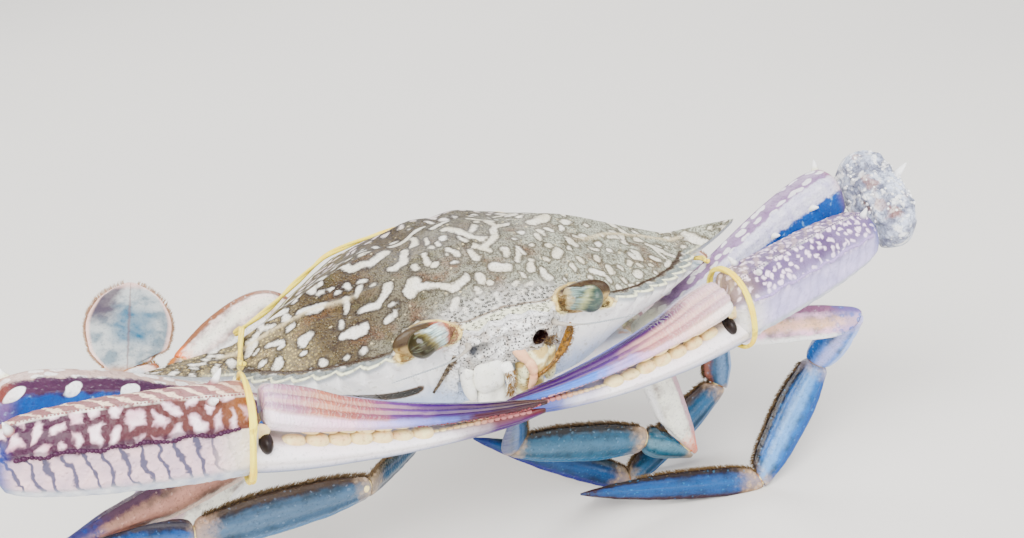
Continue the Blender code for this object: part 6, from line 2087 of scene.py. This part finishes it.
def fringes(name, part, article, hair):
    """Bristles along an article's edges; each article has a strip of its own on the map."""
    rng = np.random.default_rng(len(ISLANDS) + 300)
    ISLANDS.append((name, part))
    row = (len(ISLANDS) - 0.5) / STRIPS
    for turn, start, end, density, length, shade in FRINGE.get(name, {}).get(part, []):
        n = int(density * article.length * (end - start))
        t = rng.uniform(start, end, n)
        off = rng.normal(0, 0.16 if part != "paddle" else 0.03, n)
        roots, outs, ways = article.at(t, turn + off)
        way = unit(outs + ways * 0.6 + rng.normal(0, 0.18, (n, 3)))
        size = length * rng.uniform(0.55, 1.0, n)
        roots = roots - outs * 0.1
        tips = roots + way * size[:, None]
        ok = tips[:, 2] > FLOOR_Z + 0.1
        hair.hairs(roots[ok], way[ok], size[ok], rng.uniform(0.05, 0.1, n)[ok],
                   np.stack([0.02 + 0.96 * t, row + off / 2 / math.pi / STRIPS], 1)[ok],
                   ways[ok] * 0.25, fields={"shade": shade + 0.25 * rng.uniform(-1, 1)})


def paddle_paint(name):
    p = Paint(f"{name}_paddle_paint", roughness=0.25, **WET)
    where = p.place()
    lift, along = p.attr("lift"), p.attr("along")
    broad = p.noise(where, 5.0, 3.0, 0.6)
    middle = p.noise(where, 1.6, 3.0, 0.6)
    color = p.mix(p.step(broad, 0.4, 0.65), (196, 198, 198), (156, 166, 172))
    teal = p.times(p.step(p.away(p.add(lift, 0.1)), 0.75, 0.2),
                   p.times(p.step(along, 0.25, 0.42), p.step(along, 0.82, 0.6)))
    color = p.mix(p.times(teal, p.add(0.3, broad)), color, (70, 132, 160))
    purple = p.times(p.step(p.add(lift, p.times(middle, 0.3)), 0.3, 0.75), p.step(along, 0.45, 0.7))
    color = p.mix(p.times(purple, 0.8), color, (104, 78, 96))
    rim = p.step(p.away(lift), 0.86, 0.97)
    color = p.mix(p.times(rim, 0.8), color, (222, 208, 204))
    color = p.mix(p.times(p.step(along, 0.9, 0.98), 0.8), color, (214, 200, 196))
    color = p.mix(p.times(p.step(along, 0.14, 0.05), 0.7), color, (196, 162, 130))
    vein = p.step(p.away(p.add(lift, p.sway(middle, 0.1))), 0.05, 0.01)
    color = p.mix(p.times(vein, 0.5), color, (150, 120, 116))
    color = speckle(p, where, color, (80, 70, 80), 0.3, 0.6)
    return p.finish(color, (middle, 0.15), (p.noise(where, 0.6), 0.06))


def all_legs():
    walk, swim = Mesh(), Mesh()
    for name, spec in LEGS.items():
        leg(name, spec, LEG_TABLES, LEG_COLORS[name], walk)
    for name, spec in SWIM.items():
        leg(name, spec, SWIM_TABLES, SWIM_COLORS, swim)
    walk.done("leg_bristles", [], "leg", [hair_paint("leg_hair_paint")], uv=True)
    swim.done("paddle_bristles", [], "paddle", [hair_paint("paddle_hair_paint")], uv=True)


all_legs()


# ------------------------------------------------------------------ rubber bands

BAND_HALF = 0.8
BAND_CLEAR = 0.4
RING_AT = 0.95


def shell_height(x, y):
    angle = float(plan_angle((x, y)))
    edge_z = float(np.interp(abs(angle), MARGIN_ANGLE, MARGIN[:, 2]))
    r = min(1.0, math.hypot(x - HUB[0], y - HUB[1]) / float(notch_radius(angle)))
    return edge_z * r ** 2 + dome(r) + float(relief(x, y)) * (1.0 - r ** 6)


def back_route():
    away = BAND_HALF + BAND_CLEAR
    start = [(-63.5, -42.0, 12.6), (-62.4, -32.0, 7.6), (-61.0, -22.0, 1.4)]
    over = [(x, y, shell_height(x, y) + away + 2.2)
            for x, y in ((-59.4, -12.0), (-57.4, -5.0), (-55.6, 1.0))]
    over.append((-56.2, 5.4, -3.4))
    rear = []
    for side, points in ((-1, REAR[1:-1]), (1, REAR[:0:-1])):
        for x, y, z in points:
            out = unit([side * x * 0.55, y, 0.0])
            rear.append((side * x + out[0] * (away + 0.6), y + out[1] * (away + 0.6), z + 0.5))
    end = [(54.0, 9.6, -9.0), (61.6, 3.0, -12.2), (64.2, -2.5, -11.6), (65.4, -6.5, -10.1),
           (65.2, -10.5, -8.6), (63.6, -15.0, -7.2), (62.0, -18.2, -5.4)]
    return start + over + rear + end


def strand(target, points, offset, size, turns, closed, seed):
    """One elastic thread of a band, wound loosely about the band's middle line."""
    count = len(points)
    ahead = (unit(np.roll(points, -1, 0) - np.roll(points, 1, 0)) if closed
             else unit(np.gradient(points, axis=0)))
    side = unit(np.cross(ahead, (0.21, 0.13, 0.97)))
    other = np.cross(ahead, side)
    phase = 2 * np.pi * turns * np.arange(count) / count + offset
    centre = points + (side * np.cos(phase)[:, None] + other * np.sin(phase)[:, None]) * 0.3
    width = size * (1.0 + 0.16 * noise(points + seed * 11.0, 4.0, seed))
    if closed:
        ring_tube(target, centre, width)
    else:
        a = circle(12)
        ring = side[:, None] * np.cos(a)[None, :, None] + other[:, None] * np.sin(a)[None, :, None]
        target.grid(centre[:, None] + ring * width[:, None, None])


def bands():
    p = Paint("band_paint", roughness=0.42)
    where = p.place()
    color = p.mix(p.noise(where, 5.0), (240, 228, 184), (226, 204, 140))
    p.color(p.mix(p.times(p.patches(where, 2.0, 0.58, 0.7), 0.4), color, (186, 156, 100)))
    p.bump((p.noise(where, 0.8), 0.08))
    for name, spec in CLAWS.items():
        route = [np.asarray(q, float) for q in spec["palm"]]
        here = curve(route, RING_AT)
        ahead = unit(curve(route, 0.96) - curve(route, 0.94))
        face_way = across(FRONT, ahead)
        up = np.cross(ahead, face_way)
        wide, thick = (float(v) for v in smooth_table(palm_table(spec), RING_AT))
        a = circle(160)
        u = squared(np.cos(a), 2 / PALM_SQUARE) * (wide + BAND_HALF + BAND_CLEAR)
        v = squared(np.sin(a), 2 / PALM_SQUARE) * (thick + BAND_HALF + BAND_CLEAR)
        ring = here + up * u[:, None] + face_way * v[:, None]
        made = Mesh()
        for k in range(3):
            strand(made, ring + ahead * (0.25 * math.sin(k * 2.0)), 2.1 * k, 0.42, 1 + k % 2, True, k + 1)
        made.done(f"{name}_band_look", [f"{name}_claw_band"], "band", [p.made])
    way = np.array([curve(back_route(), t) for t in np.linspace(0, 1, 500)])
    made = Mesh()
    for k in range(2):
        strand(made, way, math.pi * k, 0.48, 7, False, k + 5)
    made.done("back_band_look", ["back_band"], "band", [p.made])


bands()


# ------------------------------------------------------------------ floor, light and camera

def stage():
    bpy.ops.mesh.primitive_plane_add(size=6.0, location=(0.0, 0.0, 0.0))
    floor = bpy.context.object
    floor.name = "floor"
    p = Paint("floor_paint", roughness=0.7)
    p.color(p.mix(p.noise(p.place((1, 1, 1)), 0.4), (216, 215, 213), (211, 210, 209)))
    floor.data.materials.append(p.made)


def lamp(name, place, aim, size, power, color=(1.0, 1.0, 1.0)):
    light = bpy.data.lights.new(name, "AREA")
    light.shape, light.size, light.size_y = "RECTANGLE", size[0], size[1]
    light.energy, light.color = power, color
    made = bpy.data.objects.new(name, light)
    made.location = place
    way = np.array(aim) - np.array(place)
    made.rotation_euler = Vector(way).to_track_quat("-Z", "Y").to_euler()
    bpy.context.scene.collection.objects.link(made)


CAMERA_AT = (-104.2, -306.7, 150.5)
CAMERA_TURN, CAMERA_LIFT, CAMERA_ROLL = -21.25, 24.97, -5.23       # degrees
LENS, SENSOR = 49.57, 36.0


def camera():
    turn, lift, roll = (math.radians(k) for k in (CAMERA_TURN, CAMERA_LIFT, CAMERA_ROLL))
    back = np.array([math.sin(turn) * math.cos(lift), -math.cos(turn) * math.cos(lift), math.sin(lift)])
    right = np.array([math.cos(turn), math.sin(turn), 0.0])
    up = np.cross(back, right)
    x = math.cos(roll) * right + math.sin(roll) * up
    y = -math.sin(roll) * right + math.cos(roll) * up
    place = (np.array(CAMERA_AT) + BODY_AT) * MM
    data = bpy.data.cameras.new("camera")
    data.sensor_width, data.lens = SENSOR, LENS
    data.clip_start, data.clip_end = 0.01, 20.0
    made = bpy.data.objects.new("camera", data)
    made.matrix_world = Matrix([[x[k], y[k], back[k], place[k]] for k in range(3)] + [[0, 0, 0, 1]])
    bpy.context.scene.collection.objects.link(made)
    bpy.context.scene.camera = made


def lights():
    world = bpy.data.worlds.new("studio")
    bpy.context.scene.world = world
    world.use_nodes = True
    shade = world.node_tree.nodes["Background"]
    shade.inputs["Color"].default_value = (0.86, 0.9, 0.96, 1.0)
    shade.inputs["Strength"].default_value = 0.36
    lamp("key", (-0.45, -0.55, 0.95), (0.0, 0.0, 0.05), (0.9, 0.7), 40.0, (1.0, 0.985, 0.96))
    lamp("fill", (0.85, -0.6, 0.55), (0.0, 0.0, 0.05), (0.8, 0.6), 11.0, (0.95, 0.97, 1.0))
    lamp("low", (-0.1, -1.1, 0.25), (0.0, 0.0, 0.06), (1.2, 0.3), 8.0, (1.0, 0.985, 0.95))
    lamp("back", (0.2, 0.8, 0.7), (0.0, 0.0, 0.08), (0.9, 0.3), 12.0)


stage()
lights()
camera()
